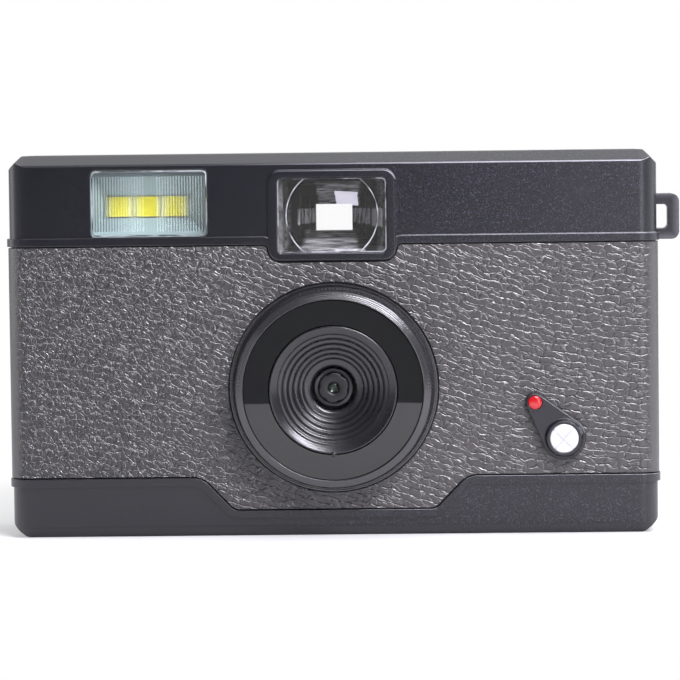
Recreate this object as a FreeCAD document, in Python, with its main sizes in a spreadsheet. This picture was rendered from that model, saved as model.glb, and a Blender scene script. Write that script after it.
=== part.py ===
import FreeCAD, Part
import math
import os
import Sketcher

# A compact camera with no screen. X runs to the right as seen from the front, Y to the back
# and Z up. The origin is the mouth of the tripod bush in the middle of the flat base.
# Lengths are in millimetres.

SIZES = {
    # Casing
    "body_width": 111.6,
    "body_height": 66.0,
    "body_depth": 24.0,
    "corner_round": 3.0,
    "cover_wall": 1.8,
    "end_bevel": 2.4,
    "edge_bevel": 1.8,
    "bevel_round": 0.5,
    "base_round": 1.6,
    "lip_tall": 1.35,
    "lip_proud": 0.45,
    # Seams between the covers and the middle of the body
    "top_cover_tall": 15.6,
    "bottom_cover_tall": 10.25,
    "seam_gap": 0.25,
    "seat_gap": 0.05,
    "recess_top_half": 22.9,
    "recess_bottom_half": 17.4,
    "recess_floor": 4.55,
    "recess_top_round": 4.0,
    "recess_bottom_round": 2.1,
    # Leatherette and the shells under it
    "leather_proud": 0.25,
    "leather_thick": 0.8,
    "shell_wall": 1.8,
    # Finder
    "finder_drop": 10.7,
    "bezel_half_width": 11.0,
    "bezel_half_height": 7.85,
    "bezel_round": 2.2,
    "bezel_notch_round": 1.0,
    "bezel_proud": 0.6,
    "frame_round": 0.3,
    "finder_open_width": 18.9,
    "finder_open_height": 13.0,
    "finder_open_round": 0.9,
    "finder_lens_recess": 0.3,
    "dish_radius": 7.87,
    "dish_deep": 0.45,
    "tube_wall": 1.0,
    "tube_flange_thick": 1.2,
    "tube_flange_lap": 0.6,
    "eye_drop": 0.9,
    "eye_width": 7.5,
    "eye_tall": 5.45,
    "eye_lens_margin": 0.7,
    "eye_lens_thick": 1.3,
    "eye_neck_wall": 0.8,
    "eye_flange_lap": 0.9,
    "eye_flange_thick": 0.8,
    "eye_pad_margin": 0.4,
    "eye_pad_proud": 0.45,
    # Flash
    "flash_end_gap": 14.3,
    "flash_width": 20.2,
    "flash_top_gap": 2.55,
    "flash_height": 11.6,
    "flash_round": 0.9,
    "flash_window_thick": 1.7,
    "flash_rib_pitch": 0.48,
    "flash_rib_deep": 0.04,
    "flash_rib_count": 17,
    "flash_plain_half": 1.0,
    "reflector_deep": 3.9,
    "reflector_wall": 0.5,
    "led_width": 4.3,
    "led_height": 3.4,
    "led_thick": 0.7,
    "led_pitch": 4.85,
    "led_count": 3,
    "led_rise": 0.6,
    "led_aside": 0.65,
    "flash_board_thick": 0.8,
    # Lens
    "lens_bezel_gap": 3.85,
    "lens_floor_gap": 3.25,
    "flange_clearance": 0.25,
    "flange_lap": 0.55,
    "flange_proud": 0.8,
    "flange_groove_deep": 0.35,
    "ring_shoulder_step": 0.75,
    "ring_shoulder_share": 0.16,
    "ring_front_step": 0.9,
    "ring_rim_width": 0.3,
    "ring_proud": 7.0,
    "ring_rim_round": 0.12,
    "ring_wall": 1.8,
    "trim_depth": 0.35,
    "trim_thick": 0.85,
    "trim_width": 4.3,
    "trim_ledge": 1.2,
    "cone_clearance": 0.15,
    "cone_rim_width": 0.75,
    "cone_step_count": 6,
    "cone_floor_width": 0.68,
    "cone_step_deep": 0.72,
    "cone_step_ridge": 0.28,
    "cone_ridge_deep": 0.12,
    "cone_bore": 3.85,
    "barrel_face_radius": 2.7,
    "barrel_thread_radius": 3.3,
    "barrel_face_setback": 1.0,
    "barrel_nose_long": 2.2,
    "barrel_long": 7.2,
    "barrel_bore": 1.6,
    "pupil_radius": 1.05,
    "pupil_land": 0.35,
    "element_thick": 1.6,
    "holder_half": 4.9,
    "holder_base_thick": 3.2,
    "holder_tube_radius": 4.4,
    "holder_tube_long": 2.6,
    "holder_ledge": 1.1,
    "filter_half": 3.2,
    "filter_thick": 0.4,
    "sensor_half_width": 2.9,
    "sensor_half_height": 2.4,
    "sensor_thick": 0.7,
    # Boards and the parts on them
    "board_setback": 4.2,
    "board_thick": 1.0,
    "board_end_gap": 12.8,
    "board_far_gap": 12.0,
    "board_bottom": 10.5,
    "board_seam_gap": 4.4,
    "tab_bottom": 2.3,
    "post_radius": 2.5,
    "post_inset": 5.0,
    "low_post_x": 9.0,
    "low_post_rise": 4.3,
    "processor_half": 6.0,
    "processor_thick": 1.2,
    "processor_x": -6.0,
    "processor_holder_gap": 0.4,
    "memory_half_width": 3.0,
    "memory_half_height": 4.0,
    "memory_thick": 1.0,
    "memory_x": -22.0,
    "memory_rise": 10.3,
    # Battery
    "battery_end_gap": 17.8,
    "battery_width": 50.0,
    "battery_bottom": 14.0,
    "battery_top_drop": 2.0,
    "battery_thick": 7.0,
    "battery_round": 2.4,
    "battery_cushion_thick": 0.5,
    # Sockets in the underside
    "usb_x": -24.0,
    "usb_width": 8.94,
    "usb_thick": 3.26,
    "usb_wall": 0.3,
    "usb_long": 7.3,
    "usb_deep": 6.2,
    "usb_mouth_height": 0.3,
    "usb_tongue_width": 6.7,
    "usb_tongue_thick": 0.7,
    "usb_tongue_long": 4.6,
    "card_x": 22.0,
    "card_width": 11.0,
    "card_long": 15.0,
    "card_thick": 0.8,
    "card_bottom": 0.5,
    "card_round": 0.8,
    "cage_bottom": 2.0,
    "cage_wall": 1.5,
    "cage_skin": 0.45,
    "slot_clearance": 0.1,
    "mouth_clearance": 0.35,
    # Shutter button
    "shutter_end_gap": 16.8,
    "shutter_radius": 5.0,
    "shutter_sink": 0.1,
    "shutter_travel": 0.9,
    "shutter_flange_lap": 0.9,
    "shutter_flange_thick": 1.0,
    "shutter_stem_radius": 1.4,
    "shutter_dish": 0.35,
    "spring_radius": 3.9,
    "spring_wire": 0.3,
    "spring_turns": 5.0,
    "tact_half": 2.25,
    "tact_tall": 3.2,
    "control_board_drop": 10.5,
    "control_board_reach": 16.5,
    "control_board_margin": 4.5,
    "control_board_half": 8.8,
    "control_post_gap": 13.5,
    "control_post_y": 6.5,
    "control_post_radius": 2.0,
    # Ribbon between the boards
    "ribbon_aside": 6.0,
    "ribbon_half": 3.0,
    "ribbon_thick": 0.25,
    "ribbon_bend": 2.5,
    "ribbon_top_end": 4.0,
    "ribbon_lap": 6.0,
    # Power button
    "power_aside": 6.5,
    "power_drop": 6.5,
    "power_radius": 2.8,
    "power_proud": 0.45,
    "power_travel": 0.6,
    "power_flange_lap": 0.8,
    "power_flange_thick": 0.8,
    "power_stem_radius": 1.2,
    "power_switch_half": 3.0,
    "power_switch_front": 4.6,
    "power_switch_back": 8.4,
    "power_switch_tall": 6.0,
    # Rear board, picture counter and flash switch
    "rear_board_front": 7.0,
    "rear_board_thick": 0.8,
    "rear_board_reach_left": 10.9,
    "rear_board_reach_right": 19.4,
    "rear_board_below": 5.6,
    "rear_board_above": 5.8,
    "rear_post_radius": 1.5,
    "counter_end_gap": 23.4,
    "counter_drop": 8.4,
    "counter_width": 13.0,
    "counter_tall": 6.5,
    "counter_round": 1.0,
    "counter_glass": 1.5,
    "counter_margin": 1.0,
    "knob_aside": 11.9,
    "knob_travel": 4.0,
    "knob_width": 4.2,
    "knob_tall": 3.2,
    "knob_thick": 1.0,
    "knob_neck_width": 2.2,
    "knob_neck_tall": 1.6,
    "slide_switch_width": 9.4,
    "slide_switch_tall": 3.6,
    "slide_switch_thick": 2.0,
    # Front lever
    "lever_end_gap": 16.36,
    "lever_height": 16.72,
    "lever_reach": 7.87,
    "lever_lean_angle": 128.8,
    "lever_tip_radius": 1.65,
    "lever_hub_radius": 3.75,
    "lever_thick": 1.3,
    "lever_lift": 0.3,
    "lever_bevel": 0.25,
    "collar_radius": 3.3,
    "collar_top_radius": 2.95,
    "collar_tall": 1.1,
    "cap_radius": 2.45,
    "cap_deep": 0.9,
    "cap_dome": 0.15,
    "dot_radius": 1.2,
    "dot_deep": 0.4,
    "shaft_radius": 1.5,
    "shaft_clearance": 0.05,
    "shaft_end_gap": 0.4,
    "washer_radius": 2.9,
    "lever_switch_half": 4.3,
    "lever_switch_thick": 3.6,
    # Strap lug
    "lug_out": 3.95,
    "lug_seam_gap": 0.1,
    "lug_tall": 7.85,
    "lug_bar": 1.85,
    "lug_front": 8.8,
    "lug_thick": 4.0,
    "lug_round": 1.35,
    "lug_hole_round": 0.8,
    "lug_foot_lap": 0.45,
    "lug_foot_thick": 0.9,
    # Tripod bush
    "bush_bore": 2.55,
    "bush_radius": 4.5,
    "bush_tall": 6.5,
    "bush_flange_lap": 1.1,
    "bush_flange_thick": 1.0,
    "bush_boss_wall": 1.7,
    # Screws and their columns
    "column_end_gap": 8.8,
    "column_side_gap": 4.8,
    "column_radius": 3.0,
    "bottom_boss_tall": 8.75,
    "top_boss_tall": 9.4,
    "side_boss_radius": 2.8,
    "side_boss_gap": 5.5,
    "screw_radius": 0.9,
    "screw_head_radius": 1.9,
    "screw_head_thick": 1.3,
    "screw_bite": 7.0,
    "screw_fit": 0.05,
    "head_clearance": 0.2,
    "small_screw_radius": 0.7,
    "small_head_radius": 1.4,
    "small_head_thick": 0.9,
    "small_screw_bite": 3.5,
    # Running clearances
    "button_clearance": 0.15,
    "part_clearance": 0.05,
    "press_clearance": 0.3,
}

FAR = 90.0
ROOT_TWO = math.sqrt(2.0)

doc = FreeCAD.newDocument("camera")
sheet = doc.addObject("Spreadsheet::Sheet", "sizes")
for row, (alias, number) in enumerate(SIZES.items(), start=1):
    sheet.set(f"A{row}", alias)
    sheet.set(f"B{row}", str(number))
    sheet.setAlias(f"B{row}", alias)
doc.recompute()


class Size:
    """A length as a number and as the sheet expression that gives it."""

    def __init__(self, number, text):
        self.number = float(number)
        self.text = text

    def __float__(self):
        return self.number

    def __add__(self, other):
        other = as_size(other)
        return Size(self.number + other.number, f"({self.text} + {other.text})")

    def __radd__(self, other):
        return as_size(other) + self

    def __sub__(self, other):
        other = as_size(other)
        return Size(self.number - other.number, f"({self.text} - {other.text})")

    def __rsub__(self, other):
        return as_size(other) - self

    def __mul__(self, other):
        other = as_size(other)
        return Size(self.number * other.number, f"({self.text} * {other.text})")

    def __rmul__(self, other):
        return as_size(other) * self

    def __truediv__(self, other):
        other = as_size(other)
        return Size(self.number / other.number, f"({self.text} / {other.text})")

    def __neg__(self):
        return Size(-self.number, f"(-1 * {self.text})")


def as_size(value):
    """A plain number becomes a size too, so both can stand in one formula."""
    return value if isinstance(value, Size) else Size(value, repr(float(value)))


class Cells:
    """The sheet's cells as sizes, one attribute for each alias."""

    def __init__(self):
        for alias in SIZES:
            setattr(self, alias, Size(sheet.get(alias), f"sizes.{alias}"))


c = Cells()
parts = []


# Places that several pieces share

half_width = c.body_width / 2
half_depth = c.body_depth / 2
top_seam = c.body_height - c.top_cover_tall
bottom_seam = c.bottom_cover_tall
finder_height = c.body_height - c.finder_drop
eye_height = finder_height - c.eye_drop
wall_front = -half_depth
wall_inner_front = -half_depth + c.cover_wall
wall_inner_back = half_depth - c.cover_wall
roof_inner = c.body_height - c.cover_wall
leather_half_width = half_width + c.leather_proud
leather_half_depth = half_depth + c.leather_proud
shell_half_width = leather_half_width - c.leather_thick
shell_half_depth = leather_half_depth - c.leather_thick
shell_front = -shell_half_depth
shell_inner_front = -shell_half_depth + c.shell_wall
shell_inner_back = shell_half_depth - c.shell_wall
leather_front = -leather_half_depth
column_x = half_width - c.column_end_gap
column_y = half_depth - c.column_side_gap
bottom_boss_top = bottom_seam + c.bottom_boss_tall
top_boss_bottom = top_seam - c.top_boss_tall
board_front = -c.board_setback
board_back = board_front + c.board_thick
board_left = -half_width + c.board_end_gap
board_right = half_width - c.board_far_gap
board_top = top_seam - c.board_seam_gap
flash_x = -half_width + c.flash_end_gap + c.flash_width / 2
flash_z = c.body_height - c.flash_top_gap - c.flash_height / 2
window_front = wall_front - c.seat_gap
window_back = window_front + c.flash_window_thick
bezel_front = wall_front - c.bezel_proud
pad_back = half_depth + c.eye_pad_proud
finder_lens_front = bezel_front + c.finder_lens_recess
tube_front = wall_inner_front + c.part_clearance
flange_radius = (
    finder_height - c.bezel_half_height - c.lens_bezel_gap - c.recess_floor - c.lens_floor_gap
) / 2
lens_height = c.recess_floor + c.lens_floor_gap + flange_radius
ring_base_radius = flange_radius - c.flange_lap
ring_shoulder_radius = ring_base_radius - c.ring_shoulder_step
ring_front_radius = ring_shoulder_radius - c.ring_front_step
ring_front_bore = ring_front_radius - c.ring_rim_width
ring_hollow_radius = ring_front_bore - c.ring_wall
trim_bore = ring_front_bore - c.trim_width
cone_rim_radius = trim_bore - c.cone_clearance
cone_mouth_radius = cone_rim_radius - c.cone_rim_width
flange_bore = cone_rim_radius + c.flange_clearance
cone_step_pitch = (cone_mouth_radius - c.cone_floor_width - c.cone_bore) / c.cone_step_count
processor_height = lens_height + c.holder_half + c.processor_holder_gap + c.processor_half
memory_height = lens_height + c.memory_rise
ring_front = leather_front - c.ring_proud
flange_front = leather_front - c.flange_proud
trim_front = ring_front + c.trim_depth
trim_back = trim_front + c.trim_thick
cone_front = trim_front - c.part_clearance
cone_floor = cone_front + c.cone_step_deep * c.cone_step_count
barrel_front = cone_floor + c.barrel_face_setback
barrel_back = barrel_front + c.barrel_long
shutter_x = half_width - c.shutter_end_gap
shutter_top = c.body_height - c.shutter_sink
shutter_flange_top = roof_inner - c.part_clearance
shutter_flange_bottom = shutter_flange_top - c.shutter_flange_thick
control_top = c.body_height - c.control_board_drop
control_bottom = control_top - c.board_thick
control_post_x = shutter_x - c.control_post_gap
switch_top = control_top + c.tact_tall
power_x = shutter_x - c.power_aside
power_height = c.body_height - c.power_drop
power_flange_back = wall_inner_back - c.part_clearance
power_flange_front = power_flange_back - c.power_flange_thick
counter_x = -half_width + c.counter_end_gap
counter_height = c.body_height - c.counter_drop
knob_x = counter_x + c.knob_aside
rear_board_left = counter_x - c.rear_board_reach_left
rear_board_right = counter_x + c.rear_board_reach_right
rear_board_bottom = counter_height - c.rear_board_below
rear_board_top = counter_height + c.rear_board_above
rear_board_back = c.rear_board_front + c.rear_board_thick
lever_x = half_width - c.lever_end_gap
lever_back = leather_front - c.lever_lift
lever_front = lever_back - c.lever_thick
collar_front = lever_front - c.collar_tall
cap_back = collar_front + c.cap_deep
shaft_back = board_front - c.shaft_end_gap
lug_bottom = top_seam + c.lug_seam_gap
lug_top = lug_bottom + c.lug_tall


# Document objects

def bind(feature, prop, value):
    """Ties a property to the sheet, or sets it when it is a plain number."""
    if isinstance(value, Size):
        feature.setExpression(prop, value.text)
    else:
        feature.setExpression(prop, repr(float(value)))


def new_body(name, x=0.0, y=0.0, z=0.0):
    """An empty body with its own label, placed at sizes from the sheet."""
    body = doc.addObject("PartDesign::Body", name)
    body.Label = name
    bind(body, "Placement.Base.x", x)
    bind(body, "Placement.Base.y", y)
    bind(body, "Placement.Base.z", z)
    parts.append(body)
    return body


def new_sketch(body, role, offset=0.0):
    """A sketch on an origin plane. XZ_Plane looks to the front, so its offset runs to -Y."""
    sketch = body.newObject("Sketcher::SketchObject", f"{body.Name}_sketch")
    plane = [item for item in body.Origin.OriginFeatures if item.Role == role][0]
    sketch.AttachmentSupport = [(plane, "")]
    sketch.MapMode = "FlatFace"
    bind(sketch, "AttachmentOffset.Base.z", offset)
    return sketch


def hold_point(sketch, item, end, x, y):
    """Holds one end of a line, or a centre, at two sizes from the sketch's origin."""
    for kind, value in (("DistanceX", x), ("DistanceY", y)):
        index = sketch.addConstraint(Sketcher.Constraint(kind, item, end, float(value)))
        bind(sketch, f"Constraints[{index}]", value)


def draw_outline(sketch, corners):
    """A closed outline of straight lines through corners given as sizes."""
    first = sketch.GeometryCount
    count = len(corners)
    for index, (x, y) in enumerate(corners):
        next_x, next_y = corners[(index + 1) % count]
        start = FreeCAD.Vector(x, y, 0)
        end = FreeCAD.Vector(next_x, next_y, 0)
        sketch.addGeometry(Part.LineSegment(start, end), False)
    for index in range(count):
        follower = first + (index + 1) % count
        sketch.addConstraint(Sketcher.Constraint("Coincident", first + index, 2, follower, 1))
    for index, (x, y) in enumerate(corners):
        hold_point(sketch, first + index, 1, x, y)


def draw_box(sketch, half_x, half_y, centre_x=0.0, centre_y=0.0):
    """A rectangle from its half sizes and its centre."""
    left, right = centre_x - half_x, centre_x + half_x
    low, high = centre_y - half_y, centre_y + half_y
    draw_outline(sketch, [(left, low), (right, low), (right, high), (left, high)])


def draw_circle(sketch, radius, x=0.0, y=0.0):
    """A circle from its radius and its centre."""
    centre = FreeCAD.Vector(x, y, 0)
    item = sketch.addGeometry(Part.Circle(centre, FreeCAD.Vector(0, 0, 1), float(radius)), False)
    hold_point(sketch, item, 3, x, y)
    index = sketch.addConstraint(Sketcher.Constraint("Radius", item, float(radius)))
    bind(sketch, f"Constraints[{index}]", radius)


def pad(body, sketch, length, backwards=False):
    """Adds the sketch's area along its plane's normal, or against it."""
    feature = body.newObject("PartDesign::Pad", f"{body.Name}_pad")
    feature.Profile = sketch
    feature.Reversed = backwards
    bind(feature, "Length", length)
    body.Tip = feature
    return feature


def pocket(body, sketch, length, forwards=False):
    """Cuts the sketch's area against its plane's normal, or along it."""
    feature = body.newObject("PartDesign::Pocket", f"{body.Name}_pocket")
    feature.Profile = sketch
    feature.Reversed = forwards
    bind(feature, "Length", length)
    body.Tip = feature
    return feature


def turn(body, sketch):
    """Turns a profile about its own vertical axis."""
    feature = body.newObject("PartDesign::Revolution", f"{body.Name}_turn")
    feature.Profile = sketch
    feature.ReferenceAxis = (sketch, ["V_Axis"])
    feature.Angle = 360.0
    body.Tip = feature
    return feature


def round_edges(body, radius, along):
    """Rounds every straight edge of the body so far that runs along one axis."""
    doc.recompute()
    axis = {"X": FreeCAD.Vector(1, 0, 0), "Y": FreeCAD.Vector(0, 1, 0), "Z": FreeCAD.Vector(0, 0, 1)}
    names = []
    for index, edge in enumerate(body.Tip.Shape.Edges, start=1):
        if not isinstance(edge.Curve, Part.Line):
            continue
        if abs(edge.tangentAt(edge.FirstParameter).dot(axis[along])) > 0.999:
            names.append(f"Edge{index}")
    base = body.Tip
    feature = body.newObject("PartDesign::Fillet", f"{body.Name}_round")
    feature.Base = (base, names)
    bind(feature, "Radius", radius)
    body.Tip = feature
    return feature


def set_shape(name, shape):
    """A piece whose shape is worked out here from the sheet's sizes."""
    feature = doc.addObject("Part::Feature", name)
    feature.Label = name
    feature.Shape = shape
    feature.Placement = FreeCAD.Placement()
    parts.append(feature)
    return feature


def disc(name, radius, y_back, y_front, x, z, bore=None):
    """A round plate or tube whose axis runs from front to back."""
    body = new_body(name, x, y_back, z)
    sketch = new_sketch(body, "XZ_Plane")
    draw_circle(sketch, radius)
    if bore is not None:
        draw_circle(sketch, bore)
    pad(body, sketch, y_back - y_front)
    return body


def front_plate(name, half_x, half_z, x, z, y_back, y_front, corner=None):
    """A rectangular plate that faces the front, with its upright corners rounded."""
    body = new_body(name, x, y_back, z)
    sketch = new_sketch(body, "XZ_Plane")
    draw_box(sketch, half_x, half_z)
    pad(body, sketch, y_back - y_front)
    if corner is not None:
        round_edges(body, corner, "Y")
    return body


def turned(name, profile, x=0.0, y=0.0, z=0.0):
    """A piece turned about an axis from front to back, from corners (radius, y)."""
    body = new_body(name, x, y, z)
    sketch = new_sketch(body, "XY_Plane")
    draw_outline(sketch, profile)
    turn(body, sketch)
    return body


# Shapes for the pieces that are worked out directly

def in_plane(plane, across, up):
    """A point of the XY, XZ or YZ plane."""
    if plane == "XY":
        return FreeCAD.Vector(across, up, 0)
    if plane == "XZ":
        return FreeCAD.Vector(across, 0, up)
    return FreeCAD.Vector(0, across, up)


def rounded_outline(plane, corners):
    """A closed face from corners (across, up, radius), each turned by a tangent arc."""
    points = [in_plane(plane, across, up) for across, up, _ in corners]
    radii = [float(radius) for _, _, radius in corners]
    count = len(points)
    starts = []
    ends = []
    arcs = []
    for index in range(count):
        here = points[index]
        back = (points[index - 1] - here).normalize()
        ahead = (points[(index + 1) % count] - here).normalize()
        if radii[index] <= 0.0:
            starts.append(here)
            ends.append(here)
            arcs.append(None)
            continue
        half_angle = back.getAngle(ahead) / 2
        reach = radii[index] / math.tan(half_angle)
        middle = (back + ahead).normalize()
        centre = here + middle * (radii[index] / math.sin(half_angle))
        starts.append(here + back * reach)
        ends.append(here + ahead * reach)
        arcs.append(Part.Arc(starts[-1], centre - middle * radii[index], ends[-1]).toShape())
    edges = []
    for index in range(count):
        if arcs[index] is not None:
            edges.append(arcs[index])
        follower = starts[(index + 1) % count]
        if (follower - ends[index]).Length > 1e-6:
            edges.append(Part.LineSegment(ends[index], follower).toShape())
    return Part.Face(Part.Wire(edges))


def drawn_out(face, plane, low, high):
    """The face carried along the third axis, from low to high."""
    normal = {"XY": FreeCAD.Vector(0, 0, 1), "XZ": FreeCAD.Vector(0, 1, 0)}.get(
        plane, FreeCAD.Vector(1, 0, 0)
    )
    face = face.copy()
    face.translate(normal * float(low))
    return face.extrude(normal * (float(high) - float(low)))


def box_between(x0, x1, y0, y1, z0, z1):
    """A box between three pairs of sizes."""
    corner = FreeCAD.Vector(x0, y0, z0)
    return Part.makeBox(x1 - x0 + 0.0, y1 - y0 + 0.0, z1 - z0 + 0.0, corner)


def upright_rod(radius, x, y, z0, z1):
    """A cylinder that stands between two heights."""
    return Part.makeCylinder(radius, z1 - z0 + 0.0, FreeCAD.Vector(x, y, z0))


def level_rod(radius, x, z, y0, y1):
    """A cylinder that runs from front to back."""
    return Part.makeCylinder(
        radius, y1 - y0 + 0.0, FreeCAD.Vector(x, y0, z), FreeCAD.Vector(0, 1, 0)
    )


def rounded_rect(plane, half_across, half_up, radius, across=0.0, up=0.0):
    """A rectangular face with four equal corner arcs."""
    return rounded_outline(
        plane,
        [
            (across - half_across, up - half_up, radius),
            (across + half_across, up - half_up, radius),
            (across + half_across, up + half_up, radius),
            (across - half_across, up + half_up, radius),
        ],
    )


def bevelled_form(inset, bevel_round, base_round):
    """The body's outer form, or the cavity inside it when inset is the wall.

    It is where three outlines drawn out along X, Y and Z meet: a plan with round corners,
    a front view with bevelled ends and a side view with bevelled edges.
    """
    shrink = inset * (2.0 - ROOT_TWO)
    end = c.end_bevel - shrink
    edge = c.edge_bevel - shrink
    across = half_width - inset
    deep = half_depth - inset
    low = as_size(0.0) + inset
    high = c.body_height - inset
    plan = rounded_rect("XY", across, deep, c.corner_round - inset)
    front = rounded_outline(
        "XZ",
        [
            (-across, low + end, base_round),
            (-across + end, low, base_round),
            (across - end, low, base_round),
            (across, low + end, base_round),
            (across, high - end, bevel_round),
            (across - end, high, bevel_round),
            (-across + end, high, bevel_round),
            (-across, high - end, bevel_round),
        ],
    )
    side = rounded_outline(
        "YZ",
        [
            (-deep, low + edge, bevel_round),
            (-deep + edge, low, bevel_round),
            (deep - edge, low, bevel_round),
            (deep, low + edge, bevel_round),
            (deep, high - edge, bevel_round),
            (deep - edge, high, bevel_round),
            (-deep + edge, high, bevel_round),
            (-deep, high - edge, bevel_round),
        ],
    )
    form = drawn_out(plan, "XY", -1.0, c.body_height + 1.0)
    form = form.common(drawn_out(front, "XZ", -FAR, FAR))
    return form.common(drawn_out(side, "YZ", -FAR, FAR)).removeSplitter()


def middle_block(half_across, half_deep, radius):
    """An upright block with round corners, as tall as the body."""
    plan = rounded_rect("XY", half_across, half_deep, radius)
    return drawn_out(plan, "XY", 0.0, c.body_height)


def seam_notch(half_across, low):
    """Corners, from right to left, of the notch where a frame dips below the upper seam."""
    return [
        (half_across, top_seam, c.bezel_notch_round),
        (half_across, low, c.bezel_round),
        (-half_across, low, c.bezel_round),
        (-half_across, top_seam, c.bezel_notch_round),
    ]


def front_band_face():
    """The middle of the body seen from the front: an S-curve below the lens, and a notch
    round the finder frame above it."""
    return rounded_outline(
        "XZ",
        [
            (-FAR, bottom_seam, 0),
            (-c.recess_top_half, bottom_seam, c.recess_top_round),
            (-c.recess_bottom_half, c.recess_floor, c.recess_bottom_round),
            (c.recess_bottom_half, c.recess_floor, c.recess_bottom_round),
            (c.recess_top_half, bottom_seam, c.recess_top_round),
            (FAR, bottom_seam, 0),
            (FAR, top_seam, 0),
        ]
        + seam_notch(c.bezel_half_width, finder_height - c.bezel_half_height)
        + [(-FAR, top_seam, 0)],
    )


def rear_band_face():
    """The middle of the body seen from the back: straight, with a notch round the eyepiece."""
    return rounded_outline(
        "XZ",
        [(-FAR, bottom_seam, 0), (FAR, bottom_seam, 0), (FAR, top_seam, 0)]
        + seam_notch(eye_pad_half_width(), eye_height - eye_pad_half_height())
        + [(-FAR, top_seam, 0)],
    )


def band(growth):
    """The space of the middle of the body, grown or shrunk by a margin."""
    margin = float(growth)
    halves = []
    for face, near, far in ((front_band_face(), -FAR / 2, 0.0), (rear_band_face(), 0.0, FAR / 2)):
        if abs(margin) > 0.0:
            face = face.makeOffset2D(margin)
        halves.append(drawn_out(face, "XZ", near, far))
    return halves[0].fuse(halves[1])


def upper_solids(shape):
    """The solids of a shape whose middle lies above the middle of the body."""
    return [item for item in shape.Solids if item.CenterOfMass.z > float(c.body_height) / 2]


def lower_solids(shape):
    """The solids of a shape whose middle lies below the middle of the body."""
    return [item for item in shape.Solids if item.CenterOfMass.z < float(c.body_height) / 2]


def column_places():
    """The four upright screw columns near the corners."""
    return [(x, y) for x in (-column_x, column_x) for y in (-column_y, column_y)]


# Covers, shells and leatherette

def build_casing():
    """Both covers from one bevelled form, parted along the middle band."""
    outer = bevelled_form(as_size(0.0), c.bevel_round, c.base_round)
    cavity = bevelled_form(c.cover_wall, 0.0, 0.0)
    middle = band(as_size(0.0))
    walls = outer.cut(cavity).cut(middle)
    lip_block = middle_block(
        half_width + c.lip_proud, half_depth + c.lip_proud, c.corner_round + c.lip_proud
    )
    lips = lip_block.cut(cavity).common(band(c.lip_tall)).cut(middle)
    build_top_cover(upper_solids(walls), upper_solids(lips))
    build_bottom_cover(lower_solids(walls), lower_solids(lips))


def build_top_cover(walls, lips):
    """Bevelled cover with the lip, the raised finder frame, and its openings."""
    cover = walls[0].fuse(walls[1:] + lips)
    cover = cover.fuse(
        raised_frame(
            c.bezel_half_width, c.bezel_half_height, finder_height, wall_inner_front, bezel_front
        )
    )
    cover = cover.fuse(
        raised_frame(
            eye_pad_half_width(), eye_pad_half_height(), eye_height, wall_inner_back, pad_back
        )
    )
    for x, y in column_places():
        column = upright_rod(c.column_radius, x, y, top_seam + c.part_clearance, roof_inner + 0.5)
        cover = cover.fuse(column)
    for side in (-1, 1):
        post = upright_rod(
            c.control_post_radius, control_post_x, side * c.control_post_y,
            control_top + c.part_clearance, roof_inner + 0.5,
        )
        cover = cover.fuse(post)
    for x, z in rear_post_places():
        post = level_rod(
            c.rear_post_radius, x, z, rear_board_back + c.part_clearance, wall_inner_back + 0.5
        )
        cover = cover.fuse(post)
    cuts = [
        drawn_out(
            rounded_rect("XZ", c.finder_open_width / 2, c.finder_open_height / 2,
                         c.finder_open_round, 0.0, finder_height),
            "XZ", -FAR / 2, 0.0,
        ),
        drawn_out(
            rounded_rect("XZ", c.flash_width / 2, c.flash_height / 2, c.flash_round,
                         flash_x, flash_z),
            "XZ", -FAR / 2, 0.0,
        ),
        drawn_out(
            rounded_rect("XZ", eye_neck_half_width() + c.part_clearance,
                         eye_neck_half_height() + c.part_clearance, 0.0, 0.0, eye_height),
            "XZ", 0.0, FAR / 2,
        ),
        drawn_out(
            rounded_rect("XZ", c.counter_width / 2, c.counter_tall / 2, c.counter_round,
                         counter_x, counter_height),
            "XZ", 0.0, FAR / 2,
        ),
        box_between(
            knob_x - c.knob_neck_width / 2 - c.button_clearance,
            knob_x + c.knob_neck_width / 2 + c.knob_travel + c.button_clearance,
            0.0, FAR / 2,
            counter_height - c.knob_neck_tall / 2 - c.button_clearance,
            counter_height + c.knob_neck_tall / 2 + c.button_clearance,
        ),
        upright_rod(
            c.shutter_radius + c.button_clearance, shutter_x, 0.0,
            roof_inner - 1.0, c.body_height + 1.0,
        ),
        level_rod(
            c.power_radius + c.button_clearance, power_x, power_height,
            wall_inner_back - 1.0, FAR / 2,
        ),
        lug_slot(),
    ]
    for x, y in column_places():
        hole_top = top_seam + c.screw_bite + 1.0
        cuts.append(upright_rod(c.screw_radius + c.screw_fit, x, y, top_seam - 1.0, hole_top))
    for side in (-1, 1):
        cuts.append(
            upright_rod(
                c.small_screw_radius + c.screw_fit, control_post_x, side * c.control_post_y,
                control_top - 1.0, control_top + c.small_screw_bite + 0.5,
            )
        )
    for x, z in rear_post_places():
        cuts.append(
            level_rod(
                c.small_screw_radius + c.screw_fit, x, z, rear_board_back - 1.0,
                rear_board_back + c.small_screw_bite / 2 + 0.5,
            )
        )
    for tool in cuts:
        cover = cover.cut(tool)
    set_shape("top_cover", cover.removeSplitter())


def raised_frame(half_across, half_up, height, inner_y, outer_y):
    """A rounded block through a cover's wall, softened round its outer face."""
    near, far = sorted((float(inner_y), float(outer_y)))
    face = rounded_rect("XZ", half_across, half_up, c.bezel_round, 0.0, height)
    block = drawn_out(face, "XZ", near, far)
    rim = [
        edge for edge in block.Edges
        if all(abs(vertex.Y - float(outer_y)) < 1e-6 for vertex in edge.Vertexes)
    ]
    return block.makeFillet(c.frame_round, rim)


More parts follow.
